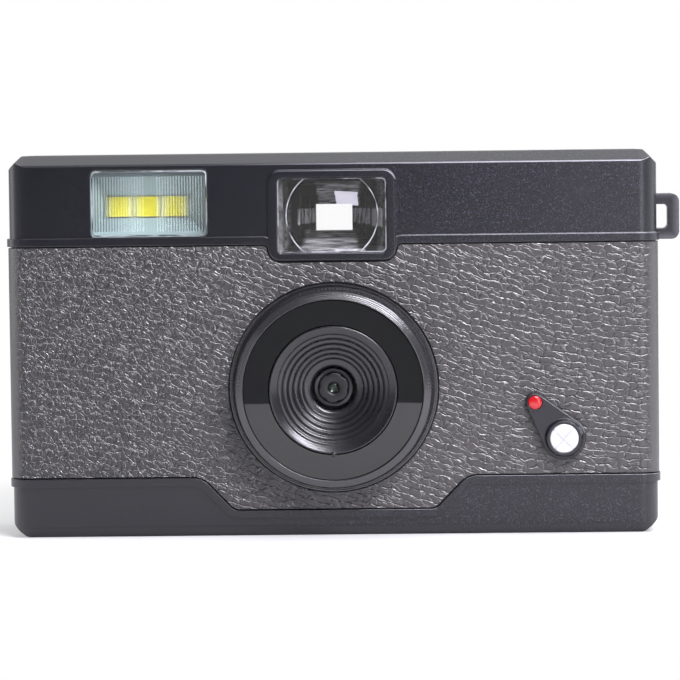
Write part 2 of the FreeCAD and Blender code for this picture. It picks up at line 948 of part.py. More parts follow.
def build_bottom_cover(walls, lips):
    """Bevelled tray with the lip, screw columns, the bush's boss and two socket slots."""
    cover = walls[0].fuse(walls[1:] + lips)
    for x, y in column_places():
        cover = cover.fuse(upright_rod(c.column_radius, x, y, 1.0, bottom_seam - c.part_clearance))
    boss_top = bush_flange_bottom() - c.part_clearance
    boss_radius = c.bush_radius + c.bush_boss_wall
    cover = cover.fuse(upright_rod(boss_radius, 0.0, 0.0, c.cover_wall / 2, boss_top))
    cuts = [upright_rod(c.bush_radius + c.part_clearance, 0.0, 0.0, -1.0, c.bush_tall + 1.0)]
    for x, y in column_places():
        cuts.append(
            upright_rod(c.screw_radius + c.head_clearance, x, y, -1.0, bottom_seam + 1.0)
        )
        cuts.append(
            upright_rod(
                c.screw_head_radius + c.head_clearance, x, y, -1.0,
                c.screw_head_thick + c.head_clearance,
            )
        )
    cuts.append(
        drawn_out(
            rounded_rect("XY", c.usb_width / 2 + c.mouth_clearance,
                         c.usb_thick / 2 + c.mouth_clearance,
                         c.usb_thick / 2, c.usb_x, usb_y()),
            "XY", -1.0, c.cover_wall + 1.0,
        )
    )
    cuts.append(
        box_between(
            c.card_x - c.card_width / 2 - c.mouth_clearance,
            c.card_x + c.card_width / 2 + c.mouth_clearance,
            card_y() - c.card_thick / 2 - c.mouth_clearance,
            card_y() + c.card_thick / 2 + c.mouth_clearance,
            -1.0, c.cover_wall + 1.0,
        )
    )
    for tool in cuts:
        cover = cover.cut(tool)
    set_shape("bottom_cover", cover.removeSplitter())


def split_halves(shape):
    """The front and the rear half of a shape that is parted in the middle of its depth."""
    front = shape.common(box_between(-FAR, FAR, -FAR, 0.0, -FAR, FAR))
    rear = shape.common(box_between(-FAR, FAR, 0.0, FAR, -FAR, FAR))
    return front, rear


def side_bosses():
    """The places of the level screws that join the shells."""
    heights = (bottom_boss_top + c.side_boss_gap, top_boss_bottom - c.side_boss_gap)
    return [(x, z) for x in (-column_x, column_x) for z in heights]


def board_posts():
    """The places of the four posts that carry the main board."""
    left = board_left + c.post_inset
    high = board_top - c.post_inset
    low = c.board_bottom + c.low_post_rise
    return [(left, high), (board_right - c.post_inset, high), (left, low), (c.low_post_x, low)]


def rear_post_places():
    """The places of the two posts that carry the rear board."""
    low = rear_board_bottom + c.small_head_radius + c.head_clearance
    return [
        (rear_board_left + c.small_head_radius + c.head_clearance, low),
        (rear_board_right - c.small_head_radius - c.head_clearance, low),
    ]


def build_shells():
    """The two shells of the middle of the body, screwed together from the back."""
    outer = middle_block(
        shell_half_width, shell_half_depth, c.corner_round + c.leather_proud - c.leather_thick
    )
    inner = box_between(
        -shell_half_width + c.shell_wall, shell_half_width - c.shell_wall,
        shell_inner_front, shell_inner_back, -1.0, c.body_height + 1.0,
    )
    walls = outer.cut(inner).common(band(-c.seat_gap))
    front, rear = split_halves(walls)
    for x, y in column_places():
        low_boss = upright_rod(
            c.column_radius, x, y, bottom_seam + c.part_clearance, bottom_boss_top
        )
        high_boss = upright_rod(
            c.column_radius, x, y, top_boss_bottom, top_seam - c.part_clearance
        )
        if float(y) < 0:
            front = front.fuse([low_boss, high_boss])
        else:
            rear = rear.fuse([low_boss, high_boss])
    for x, z in side_bosses():
        front = front.fuse(
            level_rod(c.side_boss_radius, x, z, shell_front + c.shell_wall / 2, 0.0)
        )
        rear = rear.fuse(
            level_rod(c.side_boss_radius, x, z, 0.0, shell_half_depth - c.shell_wall / 2)
        )
    for x, z in board_posts():
        post = level_rod(
            c.post_radius, x, z, shell_front + c.shell_wall / 2, board_front - c.part_clearance
        )
        front = front.fuse(post)
    front_cuts = [
        level_rod(lens_hole_radius(), 0.0, lens_height, -FAR, shell_inner_front + 1.0),
        level_rod(
            c.shaft_radius + c.shaft_clearance, lever_x, c.lever_height,
            -FAR, shell_inner_front + 1.0,
        ),
    ]
    rear_cuts = []
    for x, y in column_places():
        low_hole = upright_rod(
            c.screw_radius + c.screw_fit, x, y, 0.0, bottom_seam + c.screw_bite + 0.5
        )
        high_hole = upright_rod(
            c.screw_radius + c.head_clearance, x, y, top_boss_bottom - 1.0, top_seam + 1.0
        )
        cuts = front_cuts if float(y) < 0 else rear_cuts
        cuts.extend([low_hole, high_hole])
    for x, z in side_bosses():
        front_cuts.append(
            level_rod(c.screw_radius + c.screw_fit, x, z, -c.screw_bite - 0.5, 1.0)
        )
        rear_cuts.append(level_rod(c.screw_radius + c.head_clearance, x, z, -1.0, FAR))
        rear_cuts.append(
            level_rod(
                c.screw_head_radius + c.head_clearance, x, z,
                shell_half_depth - c.screw_head_thick - c.head_clearance, FAR,
            )
        )
    for x, z in board_posts():
        front_cuts.append(
            level_rod(
                c.small_screw_radius + c.screw_fit, x, z,
                board_front - c.small_screw_bite - 0.5, board_front + 1.0,
            )
        )
    for tool in front_cuts:
        front = front.cut(tool)
    for tool in rear_cuts:
        rear = rear.cut(tool)
    set_shape("front_shell", front.removeSplitter())
    set_shape("rear_shell", rear.removeSplitter())


def lens_hole_radius():
    """The hole in the front shell that the lens barrel passes through."""
    return c.holder_tube_radius + c.press_clearance


def build_leather():
    """The leatherette in two pieces that meet at the shells' parting line."""
    outer = middle_block(
        leather_half_width, leather_half_depth, c.corner_round + c.leather_proud
    )
    inner = middle_block(
        shell_half_width, shell_half_depth, c.corner_round + c.leather_proud - c.leather_thick
    )
    skin = outer.cut(inner).common(band(-c.seam_gap))
    front, rear = split_halves(skin)
    lens_hole = level_rod(flange_radius + c.press_clearance, 0.0, lens_height, -FAR, 0.0)
    lever_hole = level_rod(
        c.washer_radius + c.press_clearance, lever_x, c.lever_height, -FAR, 0.0
    )
    front = front.cut(lens_hole).cut(lever_hole)
    set_shape("front_leather", front.removeSplitter())
    set_shape("rear_leather", rear.removeSplitter())


# Strap lug

def lug_slot():
    """The slot in the end wall that the lug's inner bar slides up into."""
    return box_between(
        half_width - c.cover_wall - 1.0, FAR,
        -c.lug_front - c.part_clearance, -c.lug_front + c.lug_thick + c.part_clearance,
        top_seam - 1.0, lug_top + c.part_clearance,
    )


def build_strap_lug():
    """A flat loop with a foot inside the end wall."""
    outer_x = half_width + c.lug_out
    inner_x = half_width - c.cover_wall - c.part_clearance
    body = new_body("strap_lug", 0.0, -c.lug_front + c.lug_thick, 0.0)
    outline = new_sketch(body, "XZ_Plane")
    draw_outline(
        outline,
        [(inner_x, lug_bottom), (outer_x, lug_bottom), (outer_x, lug_top), (inner_x, lug_top)],
    )
    pad(body, outline, c.lug_thick)
    round_far_edges(body, c.lug_round, outer_x)
    hole = new_sketch(body, "XZ_Plane")
    hole_right = outer_x - c.lug_bar
    hole_left = half_width + c.part_clearance
    draw_outline(
        hole,
        [
            (hole_left, lug_bottom + c.lug_bar),
            (hole_right, lug_bottom + c.lug_bar),
            (hole_right, lug_top - c.lug_bar),
            (hole_left, lug_top - c.lug_bar),
        ],
    )
    pocket(body, hole, c.lug_thick, forwards=True)
    round_far_edges(body, c.lug_hole_round, hole_right)
    foot = new_sketch(body, "XZ_Plane", -c.lug_foot_lap)
    draw_outline(
        foot,
        [
            (inner_x - c.lug_foot_thick, lug_bottom),
            (inner_x, lug_bottom),
            (inner_x, lug_top + c.lug_foot_lap),
            (inner_x - c.lug_foot_thick, lug_top + c.lug_foot_lap),
        ],
    )
    pad(body, foot, c.lug_thick + c.lug_foot_lap * 2)


def round_far_edges(body, radius, x):
    """Rounds the edges from front to back that stand at one place across."""
    doc.recompute()
    names = []
    for index, edge in enumerate(body.Tip.Shape.Edges, start=1):
        ends = edge.Vertexes
        if len(ends) == 2 and all(abs(end.X - float(x)) < 1e-6 for end in ends):
            if abs(ends[0].Y - ends[1].Y) > 1e-6:
                names.append(f"Edge{index}")
    base = body.Tip
    feature = body.newObject("PartDesign::Fillet", f"{body.Name}_round")
    feature.Base = (base, names)
    bind(feature, "Radius", radius)
    body.Tip = feature


# Finder

def eye_neck_half_width():
    """Half the width of the eyepiece frame's neck."""
    return c.eye_width / 2 + c.eye_lens_margin + c.eye_neck_wall


def eye_neck_half_height():
    """Half the height of the eyepiece frame's neck."""
    return c.eye_tall / 2 + c.eye_lens_margin + c.eye_neck_wall


def eye_pad_half_width():
    """Half the width of the raised pad under the eyepiece frame."""
    return eye_neck_half_width() + c.eye_flange_lap + c.eye_pad_margin


def eye_pad_half_height():
    """Half the height of the raised pad under the eyepiece frame."""
    return eye_neck_half_height() + c.eye_flange_lap + c.eye_pad_margin


def build_finder_lens():
    """A clear plate with a round dish in its front, cut off above and below."""
    back = tube_front - c.part_clearance
    half_x = c.finder_open_width / 2 - c.part_clearance
    half_z = c.finder_open_height / 2 - c.part_clearance
    face = rounded_rect("XZ", half_x, half_z, c.finder_open_round, 0.0, finder_height)
    plate = drawn_out(face, "XZ", finder_lens_front, back)
    ball_radius = (c.dish_radius * c.dish_radius + c.dish_deep * c.dish_deep) / (c.dish_deep * 2)
    centre_y = finder_lens_front + c.dish_deep - ball_radius
    ball = Part.makeSphere(ball_radius, FreeCAD.Vector(0, centre_y, finder_height))
    set_shape("finder_front_lens", plate.cut(ball))


# Each stage of the finder's bore: how far it has narrowed towards the eyepiece, and where it
# ends, both as shares of the whole
FINDER_STAGES = ((0.0, 0.36), (0.5, 0.66), (0.8, 0.88), (1.0, 1.0))


def build_finder_tube():
    """A black tunnel whose bore narrows in steps towards the eye."""
    back = wall_inner_back - c.press_clearance
    body = new_body("finder_tube", 0.0, back, 0.0)
    long = back - tube_front
    flange_half_x = c.finder_open_width / 2 + c.tube_flange_lap
    flange_half_z = c.finder_open_height / 2 + c.tube_flange_lap
    flange = new_sketch(body, "XZ_Plane", long - c.tube_flange_thick)
    draw_box(flange, flange_half_x, flange_half_z, 0.0, finder_height)
    pad(body, flange, c.tube_flange_thick)
    wide = c.finder_open_width / 2 - c.tube_wall
    tall = c.finder_open_height / 2 - c.tube_wall
    stages = []
    begin = 0.0
    for narrowing, end in FINDER_STAGES:
        half_x = wide + (c.eye_width / 2 - wide) * narrowing
        half_z = tall + (c.eye_tall / 2 - tall) * narrowing
        height = finder_height + (eye_height - finder_height) * narrowing
        stages.append((half_x, half_z, height, begin, end))
        begin = end
    for half_x, half_z, height, begin, end in stages:
        shoulder = c.tube_wall if end < 1.0 else as_size(0.0)
        outer = new_sketch(body, "XZ_Plane", long * (1.0 - end) - shoulder)
        draw_box(outer, half_x + c.tube_wall, half_z + c.tube_wall, 0.0, height)
        pad(body, outer, long * (end - begin) + shoulder)
    for half_x, half_z, height, begin, end in stages:
        bore = new_sketch(body, "XZ_Plane", long)
        draw_box(bore, half_x, half_z, 0.0, height)
        pocket(body, bore, long * end)


def build_eyepiece():
    """The window frame at the back, and the clear plate it holds."""
    neck_front = wall_inner_back - c.press_clearance + c.part_clearance
    flange_back = pad_back + c.part_clearance + c.eye_flange_thick
    body = new_body("eyepiece_frame", 0.0, flange_back, eye_height)
    flange = new_sketch(body, "XZ_Plane")
    draw_box(
        flange, eye_neck_half_width() + c.eye_flange_lap, eye_neck_half_height() + c.eye_flange_lap
    )
    pad(body, flange, c.eye_flange_thick)
    round_edges(body, c.finder_open_round + c.eye_flange_lap / 2, "Y")
    neck = new_sketch(body, "XZ_Plane")
    draw_box(neck, eye_neck_half_width(), eye_neck_half_height())
    pad(body, neck, flange_back - neck_front)
    opening = new_sketch(body, "XZ_Plane")
    draw_box(opening, c.eye_width / 2, c.eye_tall / 2)
    pocket(body, opening, flange_back - neck_front, forwards=True)
    seat = new_sketch(body, "XZ_Plane", flange_back - neck_front)
    draw_box(
        seat, c.eye_width / 2 + c.eye_lens_margin, c.eye_tall / 2 + c.eye_lens_margin
    )
    pocket(body, seat, c.eye_lens_thick + c.part_clearance)
    front_plate(
        "eyepiece_lens",
        c.eye_width / 2 + c.eye_lens_margin - c.part_clearance,
        c.eye_tall / 2 + c.eye_lens_margin - c.part_clearance,
        0.0, eye_height, neck_front + c.eye_lens_thick, neck_front,
    )


# Flash

def build_flash_window():
    """A clear plate with upright grooves on its inner face, plain in the middle."""
    body = new_body("flash_window", flash_x, window_back, flash_z)
    half_x = c.flash_width / 2 - c.part_clearance
    half_z = c.flash_height / 2 - c.part_clearance
    outline = new_sketch(body, "XZ_Plane")
    draw_box(outline, half_x, half_z)
    pad(body, outline, c.flash_window_thick)
    round_edges(body, c.flash_round, "Y")
    for side in (-1, 1):
        groove = new_sketch(body, "XY_Plane", -half_z + c.flash_round)
        near = c.flash_plain_half * side
        far = near + c.flash_rib_pitch * side
        draw_outline(
            groove, [(near, 0.0), (far, 0.0), ((near + far) / 2, -c.flash_rib_deep)]
        )
        cut = pocket(body, groove, (half_z - c.flash_round) * 2, forwards=True)
        pattern = body.newObject("PartDesign::LinearPattern", "flash_window_ribs")
        pattern.Originals = [cut]
        pattern.Direction = (outline, ["H_Axis"])
        pattern.Reversed = side < 0
        bind(pattern, "Length", c.flash_rib_pitch * (c.flash_rib_count - 1))
        bind(pattern, "Occurrences", c.flash_rib_count)
        body.Tip = pattern


def build_flash_lamp():
    """The tray behind the window, three lamp chips in a row and their board."""
    tray_front = wall_inner_front + c.part_clearance
    tray_back = tray_front + c.reflector_deep
    tray_half_x = c.flash_width / 2 + c.reflector_wall - c.part_clearance
    tray_half_z = c.flash_height / 2 - c.part_clearance
    chip_half_x = (c.led_pitch * (c.led_count - 1) + c.led_width) / 2
    slot_half_x = chip_half_x + c.press_clearance
    slot_half_z = c.led_height / 2 + c.press_clearance
    chip_z = flash_z - c.led_rise
    chip_aside = -c.led_aside
    body = new_body("flash_reflector", flash_x, tray_back, 0.0)
    outline = new_sketch(body, "XZ_Plane")
    draw_box(outline, tray_half_x, tray_half_z, 0.0, flash_z)
    pad(body, outline, c.reflector_deep)
    mouth = new_sketch(body, "XZ_Plane", c.reflector_deep)
    draw_box(
        mouth, tray_half_x - c.reflector_wall * 2, tray_half_z - c.reflector_wall, 0.0, flash_z
    )
    throat = new_sketch(body, "XZ_Plane", c.led_thick)
    draw_box(throat, slot_half_x, slot_half_z, chip_aside, chip_z)
    funnel = body.newObject("PartDesign::SubtractiveLoft", "flash_reflector_funnel")
    funnel.Profile = mouth
    funnel.Sections = [throat]
    funnel.Ruled = True
    body.Tip = funnel
    slot = new_sketch(body, "XZ_Plane", c.led_thick)
    draw_box(slot, slot_half_x, slot_half_z, chip_aside, chip_z)
    pocket(body, slot, c.led_thick)
    board_front_y = tray_back + c.part_clearance
    chips = []
    for index in range(int(float(c.led_count))):
        left = flash_x + chip_aside - chip_half_x + c.led_pitch * index
        chips.append(
            box_between(
                left, left + c.led_width, board_front_y - c.led_thick, board_front_y,
                chip_z - c.led_height / 2, chip_z + c.led_height / 2,
            )
        )
    set_shape("flash_leds", Part.makeCompound(chips))
    front_plate(
        "flash_board", tray_half_x, tray_half_z, flash_x, flash_z,
        board_front_y + c.flash_board_thick, board_front_y,
    )


# Lens

def build_lens():
    """The ring, the trim plate, the stepped cone, the barrel and what lies behind them."""
    flange_back = shell_front - c.part_clearance
    turned(
        "lens_flange",
        [
            (flange_bore, flange_back),
            (flange_radius, flange_back),
            (flange_radius, flange_front),
            (ring_base_radius + c.flange_groove_deep, flange_front),
            (ring_base_radius + c.flange_groove_deep, flange_front + c.flange_groove_deep),
            (ring_base_radius, flange_front + c.flange_groove_deep),
            (ring_base_radius, flange_front),
            (flange_bore, flange_front),
        ],
        z=lens_height,
    )
    ring_back = flange_front - c.part_clearance
    shoulder = ring_front + (ring_back - ring_front) * c.ring_shoulder_share
    ledge_back = trim_back + c.part_clearance + c.trim_ledge
    turned(
        "lens_ring",
        [
            (ring_base_radius, ring_back),
            (ring_base_radius, ring_back - c.flange_groove_deep),
            (ring_shoulder_radius, shoulder),
            (ring_front_radius, ring_front + c.ring_rim_round),
            (ring_front_radius - c.ring_rim_round / 2, ring_front),
            (ring_front_bore, ring_front),
            (ring_front_bore, trim_back + c.part_clearance),
            (trim_bore, trim_back + c.part_clearance),
            (trim_bore, ledge_back),
            (ring_hollow_radius, ledge_back),
            (ring_hollow_radius, ring_back),
        ],
        z=lens_height,
    )
    disc(
        "lens_trim_plate", ring_front_bore - c.part_clearance * 2, trim_back, trim_front,
        0.0, lens_height, bore=trim_bore,
    )
    build_lens_cone(flange_back)
    barrel_bore_back = barrel_front + c.pupil_land + c.element_thick
    turned(
        "lens_barrel",
        [
            (c.pupil_radius, barrel_front),
            (c.barrel_face_radius, barrel_front),
            (c.barrel_face_radius, barrel_front + c.barrel_nose_long),
            (c.barrel_thread_radius, barrel_front + c.barrel_nose_long),
            (c.barrel_thread_radius, barrel_back),
            (c.barrel_bore, barrel_back),
            (c.barrel_bore, barrel_front + c.pupil_land),
            (c.pupil_radius, barrel_front + c.pupil_land),
        ],
        z=lens_height,
    )
    turned(
        "front_lens",
        [
            (0.0, barrel_front + c.pupil_land / 2 + c.part_clearance),
            (c.pupil_radius - c.part_clearance, barrel_front + c.pupil_land + c.part_clearance),
            (c.barrel_bore - c.part_clearance, barrel_front + c.pupil_land + c.part_clearance),
            (c.barrel_bore - c.part_clearance, barrel_bore_back),
            (0.0, barrel_bore_back),
        ],
        z=lens_height,
    )
    build_lens_holder()


def build_lens_cone(seat):
    """A funnel whose inner face falls in equal steps, each with a small ridge."""
    profile = [
        (c.cone_bore, seat),
        (cone_rim_radius, seat),
        (cone_rim_radius, cone_front),
        (cone_mouth_radius, cone_front),
    ]
    for index in range(int(float(c.cone_step_count))):
        radius = cone_mouth_radius - cone_step_pitch * index
        level = cone_front + c.cone_step_deep * index
        profile.append((radius, level + c.cone_step_deep))
        profile.append((radius - c.cone_step_ridge, level + c.cone_step_deep))
        profile.append((radius - c.cone_step_ridge, level + c.cone_step_deep - c.cone_ridge_deep))
        profile.append(
            (radius - cone_step_pitch, level + c.cone_step_deep - c.cone_ridge_deep)
        )
    profile.append((c.cone_bore, profile[-1][1]))
    turned("lens_cone", profile, z=lens_height)


def build_lens_holder():
    """The square holder on the board, with the filter and the sensor under it."""
    base_front = board_front - c.part_clearance - c.holder_base_thick
    tube_end = base_front - c.holder_tube_long
    body = new_body("lens_holder", 0.0, board_front - c.part_clearance, lens_height)
    base = new_sketch(body, "XZ_Plane")
    draw_box(base, c.holder_half, c.holder_half)
    pad(body, base, c.holder_base_thick)
    tube = new_sketch(body, "XZ_Plane", c.holder_base_thick)
    draw_circle(tube, c.holder_tube_radius)
    pad(body, tube, c.holder_tube_long)
    chamber = new_sketch(body, "XZ_Plane")
    draw_box(chamber, c.filter_half + c.part_clearance, c.filter_half + c.part_clearance)
    pocket(body, chamber, c.holder_base_thick - c.holder_ledge, forwards=True)
    bore = new_sketch(body, "XZ_Plane")
    draw_circle(bore, c.barrel_thread_radius + c.shaft_clearance)
    pocket(body, bore, board_front - tube_end, forwards=True)
    ledge = board_front - c.part_clearance - c.holder_base_thick + c.holder_ledge
    front_plate(
        "ir_filter", c.filter_half, c.filter_half, 0.0, lens_height,
        ledge + c.part_clearance + c.filter_thick, ledge + c.part_clearance,
    )
    front_plate(
        "image_sensor", c.sensor_half_width, c.sensor_half_height, 0.0, lens_height,
        board_front, board_front - c.sensor_thick,
    )


# Main board and what it carries

def build_main_board():
    """The board across the middle, with two tabs that reach down to the sockets."""
    usb_half = c.usb_width / 2 + 1.0
    card_half = cage_half() + 0.5
    body = new_body("main_board", 0.0, board_back, 0.0)
    outline = new_sketch(body, "XZ_Plane")
    draw_outline(
        outline,
        [
            (board_left, c.board_bottom),
            (c.usb_x - usb_half, c.board_bottom),
            (c.usb_x - usb_half, c.tab_bottom),
            (c.usb_x + usb_half, c.tab_bottom),
            (c.usb_x + usb_half, c.board_bottom),
            (c.card_x - card_half, c.board_bottom),
            (c.card_x - card_half, c.tab_bottom),
            (c.card_x + card_half, c.tab_bottom),
            (c.card_x + card_half, c.board_bottom),
            (board_right, c.board_bottom),
            (board_right, board_top),
            (board_left, board_top),
        ],
    )
    for x, z in board_posts():
        draw_circle(outline, c.small_screw_radius + c.head_clearance, x, z)
    pad(body, outline, c.board_thick)
    for name, half_x, half_z, x, z, thick in (
        ("processor", c.processor_half, c.processor_half, c.processor_x, processor_height,
         c.processor_thick),
        ("memory_chip", c.memory_half_width, c.memory_half_height, c.memory_x, memory_height,
         c.memory_thick),
    ):
        front_plate(name, half_x, half_z, x, z, board_back + thick, board_back)


def build_battery():
    """A flat cell on a foam pad against the rear shell."""
    pad_back = shell_inner_back - c.part_clearance
    cell_back = pad_back - c.battery_cushion_thick
    x = -half_width + c.battery_end_gap + c.battery_width / 2
    half_across = c.battery_width / 2
    half_up = (board_top - c.battery_top_drop - c.battery_bottom) / 2
    z = c.battery_bottom + half_up
    front_plate(
        "battery", half_across, half_up, x, z, cell_back, cell_back - c.battery_thick,
        corner=c.battery_round,
    )
    front_plate(
        "battery_cushion", half_across - c.battery_round, half_up - c.battery_round, x, z,
        pad_back, cell_back,
    )


# Sockets in the underside

def usb_y():
    """The middle of the charging socket's thickness, flat on the board's back."""
    return board_back + c.part_clearance + c.usb_thick / 2


def card_y():
    """The middle of the card's thickness inside its cage."""
    return board_back + c.part_clearance + c.cage_skin + c.slot_clearance + c.card_thick / 2


def cage_half():
    """Half the width of the card cage."""
    return c.card_width / 2 + c.cage_wall


def build_usb_socket():
    """A rounded tube with a closed back and a tongue in the middle."""
    mouth = c.usb_mouth_height
    outer = drawn_out(
        rounded_rect("XY", c.usb_width / 2, c.usb_thick / 2, c.usb_thick / 2 - 0.05,
                     c.usb_x, usb_y()),
        "XY", mouth, mouth + c.usb_long,
    )
    inner_half_thick = c.usb_thick / 2 - c.usb_wall
    inner = drawn_out(
        rounded_rect("XY", c.usb_width / 2 - c.usb_wall, inner_half_thick, inner_half_thick - 0.05,
                     c.usb_x, usb_y()),
        "XY", mouth - 1.0, mouth + c.usb_deep,
    )
    tongue = box_between(
        c.usb_x - c.usb_tongue_width / 2, c.usb_x + c.usb_tongue_width / 2,
        usb_y() - c.usb_tongue_thick / 2, usb_y() + c.usb_tongue_thick / 2,
        mouth + c.usb_deep - c.usb_tongue_long, mouth + c.usb_long,
    )
    set_shape("usb_socket", outer.cut(inner).fuse(tongue).removeSplitter())


def build_card():
    """The cage on the board's back, and the card that slides out of the underside."""
    cage_y = board_back + c.part_clearance
    thick = (c.cage_skin + c.slot_clearance) * 2 + c.card_thick
    cage_top = c.card_bottom + c.card_long + c.slot_clearance + c.cage_skin
    body = new_body("card_socket", c.card_x, cage_y, c.cage_bottom)
    outline = new_sketch(body, "XY_Plane")
    draw_box(outline, cage_half(), thick / 2, 0.0, thick / 2)
    pad(body, outline, cage_top - c.cage_bottom)
    slot = new_sketch(body, "XY_Plane")
    draw_box(
        slot, c.card_width / 2 + c.slot_clearance, c.card_thick / 2 + c.slot_clearance,
        0.0, thick / 2,
    )
    pocket(body, slot, cage_top - c.cage_bottom - c.cage_skin, forwards=True)
    card = new_body("memory_card", c.card_x, card_y() + c.card_thick / 2, c.card_bottom)
    face = new_sketch(card, "XZ_Plane")
    half = c.card_width / 2
    draw_outline(face, [(-half, 0.0), (half, 0.0), (half, c.card_long), (-half, c.card_long)])
    pad(card, face, c.card_thick)
    round_edges(card, c.card_round, "Y")


# Controls on the top and the back

def build_shutter():
    """The release button, its spring, its switch and the board under them."""
    half_control = (c.control_board_reach + c.control_board_margin) / 2
    control_x = shutter_x + c.control_board_margin - half_control
    body = new_body("control_board", 0.0, 0.0, control_bottom)
    outline = new_sketch(body, "XY_Plane")
    draw_box(outline, half_control, c.control_board_half, control_x, 0.0)
    for side in (-1, 1):
        draw_circle(
            outline, c.small_screw_radius + c.head_clearance, control_post_x,
            c.control_post_y * side,
        )
    pad(body, outline, c.board_thick)
    switch = new_body("shutter_switch", shutter_x, 0.0, control_top)
    square = new_sketch(switch, "XY_Plane")
    draw_box(square, c.tact_half, c.tact_half)
    pad(switch, square, c.tact_tall)
    stem_bottom = switch_top + c.shutter_travel + c.part_clearance
    lap_radius = c.shutter_radius + c.shutter_flange_lap
    button = new_body("shutter_button", shutter_x, 0.0, stem_bottom)
    stem = new_sketch(button, "XY_Plane")
    draw_circle(stem, c.shutter_stem_radius)
    pad(button, stem, shutter_flange_bottom - stem_bottom)
    flange = new_sketch(button, "XY_Plane", shutter_flange_bottom - stem_bottom)
    draw_circle(flange, lap_radius)
    pad(button, flange, c.shutter_flange_thick)
    cap = new_sketch(button, "XY_Plane", shutter_flange_top - stem_bottom)
    draw_circle(cap, c.shutter_radius)
    pad(button, cap, shutter_top - shutter_flange_top)
    groove_profile = new_sketch(button, "XZ_Plane")
    top = shutter_top - stem_bottom
    rim = c.shutter_radius - c.shutter_flange_lap
    draw_outline(groove_profile, [(0.0, top - c.shutter_dish), (rim, top), (0.0, top)])
    dish = button.newObject("PartDesign::Groove", "shutter_button_dish")
    dish.Profile = groove_profile
    dish.ReferenceAxis = (groove_profile, ["V_Axis"])
    dish.Angle = 360.0
    button.Tip = dish
    build_shutter_spring(shutter_flange_bottom - c.part_clearance, control_top + c.part_clearance)


def build_shutter_spring(top, bottom):
    """A square wire wound from the board up to the button's flange."""
    wire = c.spring_wire / 2
    low = bottom + wire
    tall = top - wire - low
    helix = Part.makeHelix(tall / c.spring_turns + 0.0, tall + 0.0, c.spring_radius + 0.0)
    helix.translate(FreeCAD.Vector(shutter_x, 0, low))
    start = shutter_x + c.spring_radius
    ways = ((-1, -1), (1, -1), (1, 1), (-1, 1), (-1, -1))
    corners = [FreeCAD.Vector(start + wire * out, 0, low + wire * up) for out, up in ways]
    section = Part.makePolygon(corners)
    set_shape("shutter_spring", Part.Wire(helix.Edges).makePipeShell([section], True, True))


def build_power_button():
    """The rear button and the side switch that it presses."""
    stem_front = c.power_switch_back + c.power_travel + c.part_clearance
    cap_back = half_depth + c.power_proud
    body = new_body("power_button", power_x, cap_back, power_height)
    cap = new_sketch(body, "XZ_Plane")
    draw_circle(cap, c.power_radius)
    pad(body, cap, cap_back - power_flange_back)
    flange = new_sketch(body, "XZ_Plane", cap_back - power_flange_back)
    draw_circle(flange, c.power_radius + c.power_flange_lap)
    pad(body, flange, c.power_flange_thick)
    stem = new_sketch(body, "XZ_Plane", cap_back - power_flange_front)
    draw_circle(stem, c.power_stem_radius)
    pad(body, stem, power_flange_front - stem_front)
    switch = new_body("power_switch", power_x, 0.0, control_top)
    block = new_sketch(switch, "XY_Plane")
    half_y = (c.power_switch_back - c.power_switch_front) / 2
    draw_box(block, c.power_switch_half, half_y, 0.0, c.power_switch_front + half_y)
    pad(switch, block, c.power_switch_tall)


def build_rear_board():
    """The upright board behind the back wall, with the counter and the flash switch."""
    half_x = (rear_board_right - rear_board_left) / 2
    half_z = (rear_board_top - rear_board_bottom) / 2
    middle_x = rear_board_left + half_x
    body = new_body("rear_board", middle_x, rear_board_back, rear_board_bottom + half_z)
    outline = new_sketch(body, "XZ_Plane")
    draw_box(outline, half_x, half_z)
    for x, z in rear_post_places():
        draw_circle(
            outline, c.small_screw_radius + c.head_clearance,
            x - middle_x, z - rear_board_bottom - half_z,
        )
    pad(body, outline, c.rear_board_thick)
    window_back_y = half_depth - c.part_clearance
    window_front_y = window_back_y - c.counter_glass
    front_plate(
        "counter_window",
        c.counter_width / 2 - c.part_clearance, c.counter_tall / 2 - c.part_clearance,
        counter_x, counter_height, window_back_y, window_front_y, corner=c.counter_round,
    )
    front_plate(
        "counter_display",
        c.counter_width / 2 + c.counter_margin, c.counter_tall / 2 + c.counter_margin,
        counter_x, counter_height, wall_inner_back - c.part_clearance,
        rear_board_back + c.part_clearance,
    )
    switch_middle = knob_x + c.knob_travel / 2
    switch_back = rear_board_back + c.part_clearance + c.slide_switch_thick
    front_plate(
        "flash_slide_switch", c.slide_switch_width / 2, c.slide_switch_tall / 2,
        switch_middle, counter_height, switch_back, rear_board_back + c.part_clearance,
    )
    knob_front = half_depth + c.part_clearance
    knob_back = knob_front + c.knob_thick
    knob = new_body("flash_switch_knob", knob_x, knob_back, counter_height)
    cap = new_sketch(knob, "XZ_Plane")
    draw_box(cap, c.knob_width / 2, c.knob_tall / 2)
    pad(knob, cap, c.knob_thick)
    neck = new_sketch(knob, "XZ_Plane", c.knob_thick)
    draw_box(neck, c.knob_neck_width / 2, c.knob_neck_tall / 2)
    pad(knob, neck, knob_front - switch_back - c.part_clearance)


def build_ribbon():
    """The flat cable that bends from under the control board down the main board's back."""
    high = control_bottom - c.part_clearance
    near = board_back + c.part_clearance
    low = board_top - c.ribbon_lap
    ribbon_x = shutter_x - c.ribbon_aside
    face = rounded_outline(
        "YZ",
        [
            (c.ribbon_top_end, high, 0),
            (near, high, c.ribbon_bend),
            (near, low, 0),
            (near + c.ribbon_thick, low, 0),
            (near + c.ribbon_thick, high - c.ribbon_thick, c.ribbon_bend - c.ribbon_thick),
            (c.ribbon_top_end, high - c.ribbon_thick, 0),
        ],
    )
    strip = drawn_out(face, "YZ", ribbon_x - c.ribbon_half, ribbon_x + c.ribbon_half)
    set_shape("board_ribbon", strip)


# Front lever

